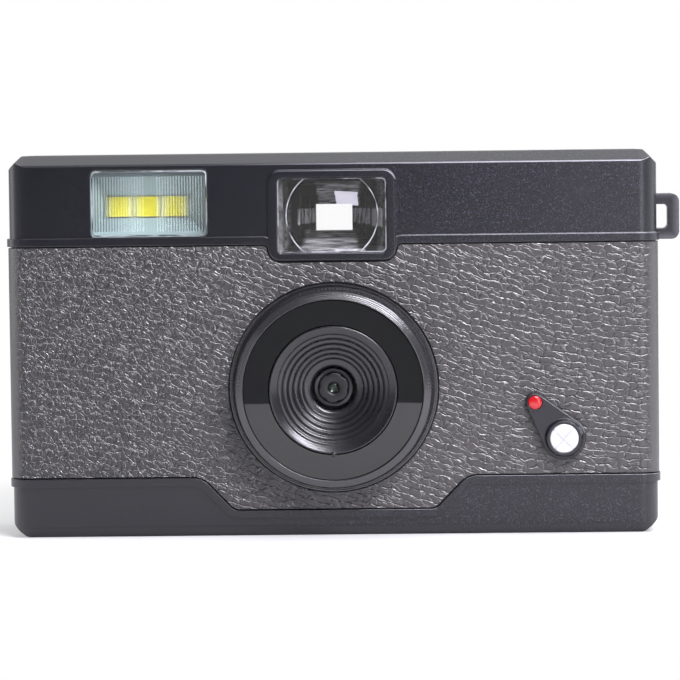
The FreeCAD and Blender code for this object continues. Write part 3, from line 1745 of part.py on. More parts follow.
def lever_point(share):
    """A point on the lever's middle line, from the pivot at 0 to the tip at 1."""
    lean = math.radians(float(c.lever_lean_angle))
    reach = float(c.lever_reach) * share
    return (
        float(lever_x) + reach * math.cos(lean),
        float(c.lever_height) + reach * math.sin(lean),
    )


def lever_outline():
    """Two arcs joined by the lines that touch both, as one face."""
    hub_x, hub_z = lever_point(0.0)
    tip_x, tip_z = lever_point(1.0)
    hub_radius = float(c.lever_hub_radius)
    tip_radius = float(c.lever_tip_radius)
    lean = math.radians(float(c.lever_lean_angle))
    spread = math.acos((hub_radius - tip_radius) / float(c.lever_reach))

    def rim(x, z, radius, angle):
        return FreeCAD.Vector(x + radius * math.cos(angle), 0, z + radius * math.sin(angle))

    hub_a = rim(hub_x, hub_z, hub_radius, lean + spread)
    hub_b = rim(hub_x, hub_z, hub_radius, lean - spread)
    tip_a = rim(tip_x, tip_z, tip_radius, lean + spread)
    tip_b = rim(tip_x, tip_z, tip_radius, lean - spread)
    hub_far = rim(hub_x, hub_z, hub_radius, lean + math.pi)
    tip_far = rim(tip_x, tip_z, tip_radius, lean)
    edges = [
        Part.Arc(hub_a, hub_far, hub_b).toShape(),
        Part.LineSegment(hub_b, tip_b).toShape(),
        Part.Arc(tip_b, tip_far, tip_a).toShape(),
        Part.LineSegment(tip_a, hub_a).toShape(),
    ]
    return Part.Face(Part.Wire(edges))


def build_lever():
    """The teardrop lever with its red dot, silver cap, shaft, washer and switch."""
    tip_x, tip_z = lever_point(1.0)
    plate = drawn_out(lever_outline(), "XZ", lever_front, lever_back)
    front_edges = [
        edge for edge in plate.Edges
        if max(abs(vertex.Y - float(lever_front)) for vertex in edge.Vertexes) < 1e-6
    ]
    plate = plate.makeChamfer(float(c.lever_bevel), front_edges)
    collar = Part.makeCone(
        c.collar_radius, c.collar_top_radius, c.collar_tall,
        FreeCAD.Vector(lever_x, lever_front, c.lever_height), FreeCAD.Vector(0, -1, 0),
    )
    lever = plate.fuse(collar)
    lever = lever.cut(
        level_rod(
            c.cap_radius + c.part_clearance, lever_x, c.lever_height,
            collar_front - 1.0, cap_back + c.part_clearance,
        )
    )
    lever = lever.cut(
        level_rod(
            c.dot_radius + c.part_clearance, tip_x, tip_z,
            lever_front - 1.0, lever_front + c.dot_deep + c.part_clearance,
        )
    )
    lever = lever.cut(
        level_rod(c.shaft_radius + c.part_clearance, lever_x, c.lever_height, -FAR, 0.0)
    )
    set_shape("timer_lever", lever.removeSplitter())
    turned(
        "lever_cap",
        [
            (0.0, cap_back),
            (c.cap_radius, cap_back),
            (c.cap_radius, collar_front),
            (c.cap_radius - c.cap_dome, collar_front - c.cap_dome),
            (0.0, collar_front - c.cap_dome),
        ],
        x=lever_x, z=c.lever_height,
    )
    dot = level_rod(
        c.dot_radius, tip_x, tip_z, lever_front - c.part_clearance, lever_front + c.dot_deep
    )
    set_shape("lever_dot", dot)
    disc(
        "lever_shaft", c.shaft_radius, shaft_back, cap_back + c.part_clearance,
        lever_x, c.lever_height,
    )
    disc(
        "lever_washer", c.washer_radius, shell_front - c.part_clearance,
        lever_back + c.part_clearance, lever_x, c.lever_height,
        bore=c.shaft_radius + c.shaft_clearance,
    )
    switch = front_plate(
        "lever_switch", c.lever_switch_half, c.lever_switch_half, lever_x, c.lever_height,
        board_front - c.part_clearance, board_front - c.part_clearance - c.lever_switch_thick,
    )
    bore = new_sketch(switch, "XZ_Plane")
    draw_circle(bore, c.shaft_radius + c.shaft_clearance)
    pocket(switch, bore, c.lever_switch_thick, forwards=True)


# Tripod bush and screws

def bush_flange_bottom():
    """The underside of the bush's flange, inside the bottom cover."""
    return c.bush_tall - c.bush_flange_thick


def build_tripod_bush():
    """A flanged brass bush whose flange rests on the boss inside the bottom cover."""
    body = new_body("tripod_bush")
    tube = new_sketch(body, "XY_Plane")
    draw_circle(tube, c.bush_radius)
    draw_circle(tube, c.bush_bore)
    pad(body, tube, c.bush_tall)
    flange = new_sketch(body, "XY_Plane", bush_flange_bottom())
    draw_circle(flange, c.bush_radius + c.bush_flange_lap)
    draw_circle(flange, c.bush_bore)
    pad(body, flange, c.bush_flange_thick)


# The round recess of a screw, as shares of its head's radius and thickness
SCREW_RECESS_WIDE = 0.45
SCREW_RECESS_DEEP = 0.5


def screw(x, y, z, direction, radius, head_radius, head_thick, bite):
    """A pan-head screw. Its point runs along direction from the head's inner face."""
    inner_face = FreeCAD.Vector(x, y, z)
    back = direction * -1
    head = Part.makeCylinder(head_radius, head_thick, inner_face, back)
    shank = Part.makeCylinder(radius, bite, inner_face, direction)
    socket = Part.makeCylinder(
        float(head_radius) * SCREW_RECESS_WIDE, float(head_thick) * SCREW_RECESS_DEEP,
        inner_face + back * float(head_thick), direction,
    )
    return head.fuse(shank).cut(socket).removeSplitter()


def build_screws():
    """Each kind of screw is one group of separate solids."""
    up = FreeCAD.Vector(0, 0, 1)
    ahead = FreeCAD.Vector(0, -1, 0)
    back = FreeCAD.Vector(0, 1, 0)
    head_seat = c.screw_head_thick + c.head_clearance - c.part_clearance
    bottom_bite = bottom_seam - head_seat + c.screw_bite
    case = [
        screw(x, y, head_seat, up, c.screw_radius, c.screw_head_radius, c.screw_head_thick,
              bottom_bite)
        for x, y in column_places()
    ]
    set_shape("bottom_screws", Part.makeCompound(case))
    top_seat = top_boss_bottom - c.part_clearance
    top_bite = top_seam - top_seat + c.screw_bite
    top = [
        screw(x, y, top_seat, up, c.screw_radius, c.screw_head_radius, c.screw_head_thick, top_bite)
        for x, y in column_places()
    ]
    set_shape("top_screws", Part.makeCompound(top))
    shell_seat = shell_half_depth - c.screw_head_thick - c.head_clearance + c.part_clearance
    shell_bite = shell_seat + c.screw_bite
    shell = [
        screw(x, shell_seat, z, ahead, c.screw_radius, c.screw_head_radius, c.screw_head_thick,
              shell_bite)
        for x, z in side_bosses()
    ]
    set_shape("shell_screws", Part.makeCompound(shell))
    small_bite = c.board_thick + c.small_screw_bite
    board = [
        screw(x, board_back + c.part_clearance, z, ahead, c.small_screw_radius,
              c.small_head_radius, c.small_head_thick, small_bite)
        for x, z in board_posts()
    ]
    set_shape("board_screws", Part.makeCompound(board))
    small = [
        screw(control_post_x, c.control_post_y * side, control_bottom - c.part_clearance, up,
              c.small_screw_radius, c.small_head_radius, c.small_head_thick, small_bite)
        for side in (-1, 1)
    ]
    rear_bite = c.rear_board_thick + c.small_screw_bite / 2
    small.extend(
        screw(x, c.rear_board_front - c.part_clearance, z, back, c.small_screw_radius,
              c.small_head_radius, c.small_head_thick, rear_bite)
        for x, z in rear_post_places()
    )
    set_shape("small_screws", Part.makeCompound(small))


# Checks and files

def check_document():
    """Stops if an object failed, a cut removed nothing, or a shape isn't sound."""
    for item in doc.Objects:
        states = [state for state in item.State if state in ("Invalid", "Error")]
        if states:
            raise RuntimeError(f"{item.Name} is {states}")
        if item.TypeId in ("PartDesign::Pocket", "PartDesign::Groove"):
            before = item.BaseFeature.Shape.Volume
            if item.Shape.Volume > before - 1e-6:
                raise RuntimeError(f"{item.Name} cuts nothing")
    for item in parts:
        if item.Shape.isNull() or not item.Shape.isValid() or not item.Shape.Solids:
            raise RuntimeError(f"{item.Label} has no sound shape")


def main():
    build_casing()
    build_shells()
    build_leather()
    build_strap_lug()
    build_finder_lens()
    build_finder_tube()
    build_eyepiece()
    build_flash_window()
    build_flash_lamp()
    build_lens()
    build_main_board()
    build_battery()
    build_usb_socket()
    build_card()
    build_shutter()
    build_power_button()
    build_rear_board()
    build_ribbon()
    build_lever()
    build_tripod_bush()
    build_screws()
    doc.recompute()
    check_document()
    os.makedirs("parts", exist_ok=True)
    for item in parts:
        item.Shape.exportStep(f"parts/{item.Label}.step")
        print(f"{item.Label}: {len(item.Shape.Solids)} solid(s), {item.Shape.Volume:.1f} mm3")


main()
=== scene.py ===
"""The looks of a screenless digital camera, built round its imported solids.

X runs to the right as seen from the front, Y to the back and Z up. The origin is the mouth of
the tripod bush. Sizes are in millimetres and become metres where a mesh or a node is made.
"""

import math

import bpy
import numpy as np
from mathutils import Matrix, Vector


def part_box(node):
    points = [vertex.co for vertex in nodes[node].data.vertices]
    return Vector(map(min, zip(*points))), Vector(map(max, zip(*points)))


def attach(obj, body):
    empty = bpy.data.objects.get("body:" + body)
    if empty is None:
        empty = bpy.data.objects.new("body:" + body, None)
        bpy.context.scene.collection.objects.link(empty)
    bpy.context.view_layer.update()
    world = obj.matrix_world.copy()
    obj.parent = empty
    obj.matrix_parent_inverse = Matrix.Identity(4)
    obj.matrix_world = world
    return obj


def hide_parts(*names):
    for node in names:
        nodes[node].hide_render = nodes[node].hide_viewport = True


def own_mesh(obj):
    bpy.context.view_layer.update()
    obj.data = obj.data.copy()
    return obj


MM = 0.001

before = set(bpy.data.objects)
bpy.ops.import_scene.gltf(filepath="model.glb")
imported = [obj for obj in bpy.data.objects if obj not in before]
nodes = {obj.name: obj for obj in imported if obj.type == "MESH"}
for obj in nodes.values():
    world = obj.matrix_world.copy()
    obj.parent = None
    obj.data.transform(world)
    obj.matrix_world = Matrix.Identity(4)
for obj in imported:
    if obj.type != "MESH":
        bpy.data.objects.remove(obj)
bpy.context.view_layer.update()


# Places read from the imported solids, in millimetres


def node_box(name):
    """The lowest and highest corners of a solid, in millimetres."""
    low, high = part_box(name)
    return np.array(low) / MM, np.array(high) / MM


def node_middle(name):
    """The middle of a solid's box, in millimetres."""
    low, high = node_box(name)
    return (low + high) / 2


LENS_X, _, LENS_Z = node_middle("lens_ring")
RING_FRONT, RING_BACK = node_box("lens_ring")[0][1], node_box("lens_ring")[1][1]
LEVER_X, _, LEVER_Z = node_middle("lever_cap")
DOT_X, _, DOT_Z = node_middle("lever_dot")
DOT_FRONT = node_box("lever_dot")[0][1]
FLASH_MIDDLE = node_middle("flash_window")
LAMP_MIDDLE = node_middle("flash_leds")
FLASH_SKIN = node_box("flash_window")[0][1] - FLASH_MIDDLE[1]
FINDER_MIDDLE = node_middle("finder_front_lens")
PUPIL = 0.90  # radius of the opening in the barrel's face
POLE = 0.0001  # radius of a surface's closed end, which is as good as a point


# Shader maths


class Value:
    """A socket in an expression. Each operator adds its Math node."""

    def __init__(self, graph, socket):
        self.graph = graph
        self.socket = socket

    def math(self, operation, *others):
        return self.graph.add(
            "ShaderNodeMath", {"operation": operation}, dict(enumerate((self, *others)))
        )

    def __add__(self, other):
        return self.math("ADD", other)

    __radd__ = __add__

    def __sub__(self, other):
        return self.math("SUBTRACT", other)

    def __rsub__(self, other):
        return self.graph.add("ShaderNodeMath", {"operation": "SUBTRACT"}, {0: other, 1: self})

    def __mul__(self, other):
        return self.math("MULTIPLY", other)

    def __truediv__(self, other):
        return self.math("DIVIDE", other)

    def __abs__(self):
        return self.math("ABSOLUTE")

    def __pow__(self, other):
        return self.math("POWER", other)

    def smaller(self, other):
        return self.math("MINIMUM", other)

    def larger(self, other):
        return self.math("MAXIMUM", other)

    def between(self, low, high):
        """0 at low and under, 1 at high and over, and smooth between them."""
        return self.graph.add(
            "ShaderNodeMapRange",
            {"interpolation_type": "SMOOTHSTEP"},
            {"Value": self, "From Min": low, "From Max": high},
        )


class Graph:
    """The nodes of one material or of the world. One method adds any node."""

    def __init__(self, name, owner=None):
        self.owner = owner or bpy.data.materials.new(name)
        self.owner.use_nodes = True
        self.tree = self.owner.node_tree
        self.tree.nodes.clear()

    def add(self, kind, settings=None, values=None, output=0):
        node = self.tree.nodes.new(kind)
        for key, value in (settings or {}).items():
            setattr(node, key, value)
        for key, value in (values or {}).items():
            if isinstance(value, Value):
                self.tree.links.new(value.socket, node.inputs[key])
            else:
                node.inputs[key].default_value = value
        return Value(self, node.outputs[output]) if node.outputs else node

    def place(self, scale=(1.0, 1.0, 1.0), origin=(0.0, 0.0, 0.0)):
        """Object coordinates in millimetres, stretched and then measured from an origin."""
        start = self.add("ShaderNodeTexCoord", output="Object")
        return self.add(
            "ShaderNodeMapping",
            {"vector_type": "POINT"},
            {
                "Vector": start,
                "Location": tuple(-part for part in origin),
                "Scale": tuple(each / MM for each in scale),
            },
        )

    def parts(self, vector):
        """The three numbers of a vector."""
        first = self.add("ShaderNodeSeparateXYZ", values={"Vector": vector})
        outputs = first.socket.node.outputs
        return tuple(Value(self, outputs[index]) for index in range(3))

    def noise(self, vector, scale, detail=2.0, roughness=0.5):
        return self.add(
            "ShaderNodeTexNoise",
            None,
            {"Vector": vector, "Scale": scale, "Detail": detail, "Roughness": roughness},
        )

    def blend(self, factor, first, second):
        """A colour between two, as colours aren't Math values."""
        node = self.tree.nodes.new("ShaderNodeMix")
        node.data_type = "RGBA"
        for index, value in ((0, factor), (6, first), (7, second)):
            if isinstance(value, Value):
                self.tree.links.new(value.socket, node.inputs[index])
            elif index == 0:
                node.inputs[index].default_value = value
            else:
                node.inputs[index].default_value = (*value, 1.0)
        return Value(self, node.outputs[2])

    def surface(self, **sockets):
        """A Principled surface. Names with underscores stand for the sockets' own names."""
        values = {}
        for name, value in sockets.items():
            if isinstance(value, tuple) and len(value) == 3:
                value = (*value, 1.0)
            values[name.replace("_", " ")] = value
        return self.add("ShaderNodeBsdfPrincipled", None, values)

    def finish(self, shader):
        """Sends a shader to the output and gives the material."""
        self.add("ShaderNodeOutputMaterial", None, {"Surface": shader})
        return self.owner

    def bump(self, height, distance, strength=1.0, over=None):
        """A normal from a height in 0..1, over a distance in millimetres."""
        values = {"Height": height, "Distance": distance * MM, "Strength": strength}
        if over is not None:
            values["Normal"] = over
        return self.add("ShaderNodeBump", None, values)

    def soft_edges(self, radius):
        """A normal that rounds sharp edges, for their thin highlights."""
        return self.add("ShaderNodeBevel", {"samples": 14}, {"Radius": radius * MM})

    def highlight_edges(self, softened):
        """Where painted highlights go: 1 on softened edges that lean up and not left, and 0 on
        upright and level faces.
        """
        side, _, lean = self.parts(softened)
        rising = lean.between(0.12, 0.24) * (1.0 - lean.between(0.50, 0.64))
        return rising * side.between(-0.30, -0.08)


def from_lens_axis(graph):
    """Object coordinates measured from the lens axis, their X, and the distance from the axis."""
    place = graph.place(origin=(LENS_X, 0.0, LENS_Z))
    across, _, up = graph.parts(place)
    return place, across, (across * across + up * up) ** 0.5


# Materials


def plain(name, color, roughness, metallic=0.0, edge=0.0, grain=0.012, **more):
    """A moulded or rolled finish: cloudy colour and gloss, a fine grain, and softened edges, the
    upper ones with a painted highlight.
    """
    graph = Graph(name)
    place = graph.place()
    cloud = graph.noise(place, 0.22, 3.0)
    speck = graph.noise(place, 8.0, 2.0, 0.6)
    over = graph.soft_edges(edge) if edge > 0.0 else None
    darker = tuple(part * 0.86 for part in color)
    lighter = tuple(min(1.0, part * 1.14) for part in color)
    base = graph.blend(cloud, darker, lighter)
    if over:
        # Painted highlight on the upper edges, where the light would catch them.
        pale = tuple(min(1.0, part * 2.0 + 0.10) for part in color)
        base = graph.blend(graph.highlight_edges(over) * 0.8, base, pale)
    return graph.finish(
        graph.surface(
            Base_Color=base,
            Roughness=roughness + (cloud - 0.5) * 0.12,
            Metallic=metallic,
            Normal=graph.bump(speck, grain, 0.5, over),
            **more,
        )
    )


def cover_finish():
    """Dark moulded plastic with a fine grain that fades out to the left.

    Painted sparkle highlights fade to the left and are stronger low down, as the light falls.
    A painted highlight runs along its upper edges towards the right, and both round ends carry
    a painted sheen.
    """
    smooth_to, grained_from = -25.0, 30.0
    end_from, end_to = 52.2, 55.6
    # Painted light: sparkle highlights, a sheen on both round ends and a highlight on upper edges.
    black, sparkle_highlight = (0.0052, 0.0052, 0.0086), (0.038, 0.036, 0.056)
    painted_sheen, pale = (0.030, 0.031, 0.035), (0.30, 0.30, 0.33)
    graph = Graph("cover_finish")
    place = graph.place()
    across, _, up = graph.parts(place)
    # Keeps the grain and fades the painted highlights towards the left, away from the light.
    grain_and_light_share = across.between(smooth_to, grained_from)
    grain = graph.noise(place, 4.6, 3.0, 0.75) * (grain_and_light_share * 0.85 + 0.15)
    spots = graph.noise(place, 4.2, 1.0).between(0.57, 0.73)
    cloud = graph.noise(place, 0.12, 2.0)
    softened = graph.soft_edges(0.22)
    normal = graph.bump(grain, 0.030, 0.8, softened)
    # Painted sparkle highlights, fainter to the left and stronger low down, as the light falls.
    low = 1.0 - up.between(6.0, 14.0)
    sparkle_highlights = spots * (grain_and_light_share * 0.9 + 0.1) * (low * 0.6 + 1.0)
    color = graph.blend(sparkle_highlights.smaller(1.0), black, sparkle_highlight)
    # Painted sheen on both round ends, then a painted highlight on the upper edges.
    sheened = graph.blend(abs(across).between(end_from, end_to), color, painted_sheen)
    painted_glints = graph.highlight_edges(softened) * (grain_and_light_share * 0.8 + 0.08)
    with_glints = graph.blend(painted_glints, sheened, pale)
    return graph.finish(
        graph.surface(Base_Color=with_glints, Roughness=0.24 + cloud * 0.05, Normal=normal, IOR=1.56)
    )


def leather_rows(graph, place):
    """Grid coordinates of the grain: rows that fall to the right and level out near both ends.

    One unit is one row or one column. A slow noise makes them sway.
    """
    across, deep, up = graph.parts(place)
    right_bend, left_bend = 22.0, 15.0
    to_right = across.larger(right_bend) - right_bend
    to_left = (across * -1.0).larger(left_bend) - left_bend
    rows = up * 0.82 + across * 0.27 - to_right * to_right * 0.0035 + to_left * to_left * 0.0025
    columns = across * 0.56 - to_left * to_left * 0.0070
    grid = graph.add("ShaderNodeCombineXYZ", None, {"X": columns, "Y": deep * 0.6, "Z": rows})
    sway = graph.add(
        "ShaderNodeTexNoise", None, {"Vector": place, "Scale": 0.42, "Detail": 2.5}, "Color"
    )
    swing = (1.5, 1.5, 1.5)
    return graph.add(
        "ShaderNodeVectorMath", {"operation": "MULTIPLY_ADD"}, {0: sway, 1: swing, 2: grid}
    )


def cells(graph, vector, feature, scale=1.0, randomness=0.88, output=0):
    """Irregular cells, by their distance to an edge or by their own place."""
    return graph.add(
        "ShaderNodeTexVoronoi", {"feature": feature},
        {"Vector": vector, "Scale": scale, "Randomness": randomness}, output,
    )


def leather_finish():
    """Grained leatherette: flat plates between narrow creases with sloping walls.

    Towards the right long wavy creases run along the rows and break off here and there. Towards
    the left the plates are small pebbles. Painted shade darkens the creases and the left side, and
    the plates' upper edges carry painted glints in dashes. The grain fades on the round corners,
    where the sheet is stretched, and these carry a painted sheen.
    """
    darker_skin, paler_skin = (0.039, 0.0362, 0.0372), (0.052, 0.0483, 0.0493)
    # Painted light: shade on the left and in the creases, glints on upper edges, sheen on corners.
    left_shade_skin, crease_shade_black = (0.024, 0.0225, 0.023), (0.010, 0.009, 0.010)
    glint_grey, corner_sheen_grey = (0.40, 0.386, 0.40), (0.070, 0.068, 0.071)
    graph = Graph("leather_finish")
    place = graph.place()
    rows = leather_rows(graph, place)
    across, _, _ = graph.parts(place)
    corner = abs(across).between(53.6, 55.2) * (1.0 - abs(across).between(55.85, 56.0))
    grained = 1.0 - corner
    pebbly = 1.0 - across.between(-40.0, 5.0)

    edge = cells(graph, rows, "DISTANCE_TO_EDGE")
    fine = cells(graph, rows, "DISTANCE_TO_EDGE", scale=1.7, randomness=1.0)
    column, _, row = graph.parts(rows)
    cell_column, _, cell_row = graph.parts(cells(graph, rows, "F1", output="Position"))
    rise = row.math("FRACT")
    breaks = graph.noise(place, 0.80, 2.0).between(0.54, 0.62)
    long_gap = 0.5 - abs(rise - 0.5) + breaks * 0.3

    wide = graph.noise(place, 0.8, 1.0) * 0.12 + 0.08
    walls = long_gap.between(-0.03, wide) * (1.0 - pebbly * 0.45)
    plates = edge.between(-0.03, wide) * (pebbly * 0.35 + 0.50)
    pebbles = fine.between(-0.05, wide * 1.5) * (pebbly * 0.55 + 0.08)
    lump = graph.noise(rows, 1.1, 2.0, 0.5)
    height = (walls * 0.50 + plates * 0.42 + pebbles * 0.36 + lump * 0.12) * grained
    pores = graph.noise(place, 6.0, 2.0, 0.6)
    normal = graph.bump(height, 0.25, 1.0, graph.bump(pores, 0.022, 0.6))

    tone = graph.noise(place, 0.6, 3.0)
    evenly = graph.blend(tone, darker_skin, paler_skin)
    # Painted shade: darker towards the left, away from the light.
    skin = graph.blend(pebbly * 0.8, evenly, left_shade_skin)
    # Painted shade in the creases.
    cell_gap = 1.0 - edge.between(0.0, 0.045)
    crease_shade = (1.0 - long_gap.between(0.0, 0.060)).larger(cell_gap * 0.7)
    crease_shaded = graph.blend(crease_shade * 0.85 * grained, skin, crease_shade_black)

    # Painted glints in dashes on the plates' upper edges, where the light would catch them.
    upper = ((row - cell_row) * 0.85 + (column - cell_column) * 0.5).between(0.02, 0.22)
    row_edge = rise.between(0.85, 0.88) * (1.0 - rise.between(0.93, 0.96)) * (1.0 - breaks)
    cell_edge = edge.between(0.015, 0.035) * (1.0 - edge.between(0.08, 0.12)) * upper
    painted_glints = row_edge * (1.0 - pebbly * 0.55) + cell_edge * (pebbly * 0.34 + 0.30)
    dashes = graph.noise(place, 1.5, 2.0).between(0.38, 0.62) * (1.0 - pebbly * 0.24)
    with_glints = graph.blend((painted_glints * dashes).smaller(1.0) * grained, crease_shaded, glint_grey)
    # Painted sheen on the round corners.
    color = graph.blend(corner * 0.8, with_glints, corner_sheen_grey)
    return graph.finish(
        graph.surface(Base_Color=color, Roughness=0.25 + tone * 0.07, Normal=normal, IOR=1.62)
    )


def clear_shader(graph, color):
    """Glass to the eye and an open way to shadow rays."""
    glass = graph.add(
        "ShaderNodeBsdfGlass", None, {"Color": (*color, 1.0), "Roughness": 0.02, "IOR": 1.49}
    )
    open_way = graph.add("ShaderNodeBsdfTransparent", None, {"Color": (*color, 1.0)})
    path = graph.add("ShaderNodeLightPath", output="Is Shadow Ray")
    return graph.add("ShaderNodeMixShader", None, {0: path, 1: glass, 2: open_way})


def clear_finish():
    """Clear plastic that lets light and shadow rays through."""
    graph = Graph("clear_finish")
    return graph.finish(clear_shader(graph, (1.0, 1.0, 1.0)))


def ribbed_finish():
    """Clear flash window whose upright ribs show as painted dark lines, for how they bend light.

    The painted lines fade in the middle of the window, where it is smooth, and a dark band runs
    under its top edge.
    """
    graph = Graph("ribbed_finish")
    place = graph.place(origin=FLASH_MIDDLE)
    across, deep, up = graph.parts(place)
    rib_pitch, plain_half = 0.48, 1.0
    wave = ((abs(across) - plain_half) * (2 * math.pi / rib_pitch)).math("SINE")
    outer = abs(across + 0.6).between(1.3, 7.5) * (1.0 - abs(up).between(4.7, 4.9))
    skin = 1.0 - (deep - FLASH_SKIN).between(0.25, 0.35)
    border = up.between(4.55, 4.75) * (1.0 - up.between(5.20, 5.35)) * 0.6
    # Painted shade along the ribs, and a dark band under the top edge.
    lines = ((wave * 0.5 + 0.5) ** 1.6 * (outer * 0.60 + 0.06)).larger(border) * skin
    shade = graph.add("ShaderNodeBsdfDiffuse", None, {"Color": (0.045, 0.05, 0.055, 1.0)})
    clear = clear_shader(graph, (0.975, 1.0, 0.995))
    return graph.finish(graph.add("ShaderNodeMixShader", None, {0: lines, 1: clear, 2: shade}))


def dome_finish():
    """The clear front of the small lens: see-through, with its reflections."""
    graph = Graph("dome_finish")
    rim = graph.add("ShaderNodeFresnel", None, {"IOR": 1.4})
    open_way = graph.add("ShaderNodeBsdfTransparent", None, {"Color": (0.93, 1.0, 0.94, 1.0)})
    shine = graph.add("ShaderNodeBsdfGlossy", None, {"Roughness": 0.03})
    return graph.finish(graph.add("ShaderNodeMixShader", None, {0: rim, 1: open_way, 2: shine}))


def box_share(across, up, left, right, low, high, soft):
    """1 inside a rectangle of two Values, 0 outside it, and smooth over a soft border."""
    past_left = across.between(left - soft, left + soft)
    past_right = across.between(right - soft, right + soft)
    over_low = up.between(low - soft, low + soft)
    over_high = up.between(high - soft, high + soft)
    return past_left * (1.0 - past_right) * over_low * (1.0 - over_high)


def tunnel_finish():
    """Glossy black moulding of the finder's inside, with painted streaks and spots of light.

    They lie where it would catch the light, and a painted patch of light on its roof glows.
    """
    graph = Graph("tunnel_finish")
    place = graph.place(origin=FINDER_MIDDLE)
    across, _, up = graph.parts(place)
    level = graph.place(scale=(0.35, 1.0, 3.2), origin=FINDER_MIDDLE)
    upright = graph.place(scale=(3.0, 1.0, 0.35), origin=FINDER_MIDDLE)
    flat_streaks = graph.noise(level, 0.9, 3.0, 0.6).between(0.30, 0.72)
    tall_streaks = graph.noise(upright, 0.9, 3.0, 0.6).between(0.30, 0.72)
    above = box_share(across, up, -2.9, 5.0, 1.6, 5.6, 0.35)
    below = box_share(across, up, -5.4, 4.4, -6.6, -3.1, 0.5)
    left = box_share(across, up, -6.4, -3.2, -1.9, 1.0, 0.2)
    right = box_share(across, up, 3.6, 6.8, -1.9, 1.0, 0.2)
    ends = abs(across).between(7.4, 8.2)
    patch = box_share(across + up * 0.10, up + across * 0.06, 0.75, 5.0, 1.75, 4.3, 0.10)
    ledge = box_share(across, up, 0.5, 5.7, -6.3, -5.9, 0.12)
    right_lit_spot = box_share(across, up, 7.2, 8.6, -2.2, 1.0, 0.25)
    mottle = graph.noise(place, 1.1, 3.0, 0.7).between(0.25, 0.75)
    # Painted light: streaks and spots where the inside would be lit or catch reflections.
    lit = (above + below * 0.7) * flat_streaks + (left + right) * tall_streaks * 1.5
    grey = (lit + ends * mottle * 0.30 + ledge * 0.45 + right_lit_spot * 0.8).smaller(1.0)
    black, caught = (0.004, 0.004, 0.0045), (0.44, 0.44, 0.45)
    patch_white, patch_glow = (0.86, 0.84, 0.92), (0.80, 0.77, 0.88)
    color = graph.blend(grey, black, caught)
    bright = graph.blend(patch, color, patch_white)
    # The patch of painted light also glows.
    return graph.finish(
        graph.surface(
            Base_Color=bright,
            Roughness=0.55,
            IOR=1.12,
            Emission_Color=graph.blend(patch, (0.0, 0.0, 0.0), patch_glow),
            Emission_Strength=0.42,
        )
    )


def gloss_ring_finish():
    """Polished black plate."""
    graph = Graph("gloss_ring_finish")
    wave = graph.noise(graph.place(), 0.05, 1.0)
    return graph.finish(
        graph.surface(
            Base_Color=(0.0130, 0.0135, 0.0135),
            Roughness=0.012,
            Normal=graph.bump(wave, 0.02, 0.4),
            IOR=1.50,
        )
    )


def ring_finish():
    """Black anodised metal with turning marks, a little violet where the light catches it."""
    graph = Graph("ring_finish")
    place, across, radius = from_lens_axis(graph)
    along = graph.add("ShaderNodeCombineXYZ", None, {"X": radius * 5.5, "Y": across * 0.05})
    marks = graph.noise(along, 1.0, 2.0, 0.7)
    cloud = graph.noise(place, 0.3, 2.0)
    return graph.finish(
        graph.surface(
            Base_Color=graph.blend(cloud, (0.009, 0.009, 0.011), (0.015, 0.014, 0.019)),
            Roughness=0.22 + cloud * 0.06,
            Normal=graph.bump(marks, 0.034, 0.8),
            IOR=1.85,
        )
    )


def turned_black_finish():
    """Satin black with the fine rings that a lathe leaves round the lens axis."""
    graph = Graph("turned_black_finish")
    place, _, radius = from_lens_axis(graph)
    ring = (radius * 19.0).math("SINE") * 0.5 + 0.5
    cloud = graph.noise(place, 0.5, 2.0)
    return graph.finish(
        graph.surface(
            Base_Color=graph.blend(cloud, (0.007, 0.007, 0.008), (0.012, 0.011, 0.015)),
            Roughness=0.25 + cloud * 0.06,
            Normal=graph.bump(ring, 0.012, 0.8),
            IOR=1.6,
        )
    )


def pale_edge_finish():
    """Moulded edge of a clear plate, light grey here and there: a painted highlight where it would
    catch the light.
    """
    graph = Graph("pale_edge_finish")
    place = graph.place()
    catch = graph.noise(place, 0.22, 2.0, 0.6).between(0.40, 0.62)
    return graph.finish(
        graph.surface(
            Base_Color=graph.blend(catch, (0.05, 0.052, 0.055), (0.42, 0.43, 0.45)),
            Roughness=0.16 + catch * 0.05,
        )
    )


def barrel_finish():
    """Satin black barrel, its flange round the face painted lighter grey, as light in the shaded
    gap.
    """
    graph = Graph("barrel_finish")
    place, _, radius = from_lens_axis(graph)
    cloud = graph.noise(place, 0.8, 3.0)
    face = graph.blend(cloud, (0.007, 0.007, 0.008), (0.012, 0.012, 0.013))
    # Painted light on the flange, deep in the shaded gap round the face.
    color = graph.blend(radius.between(2.70, 2.78), face, (0.075, 0.074, 0.080))
    return graph.finish(
        graph.surface(Base_Color=color, Roughness=0.36 + cloud * 0.08, IOR=1.45)
    )


def reflector_finish():
    """Pale green-white tray behind the flash window, with painted shade: darker towards its lower
    edge.
    """
    graph = Graph("reflector_finish")
    place = graph.place(origin=FLASH_MIDDLE)
    _, _, up = graph.parts(place)
    cloud = graph.noise(place, 0.25, 2.0)
    shade = (cloud - 0.5) * 0.3 + up.between(-4.0, 4.0)
    return graph.finish(
        graph.surface(
            Base_Color=graph.blend(shade, (0.24, 0.295, 0.30), (0.36, 0.42, 0.42)),
            Roughness=0.32,
        )
    )


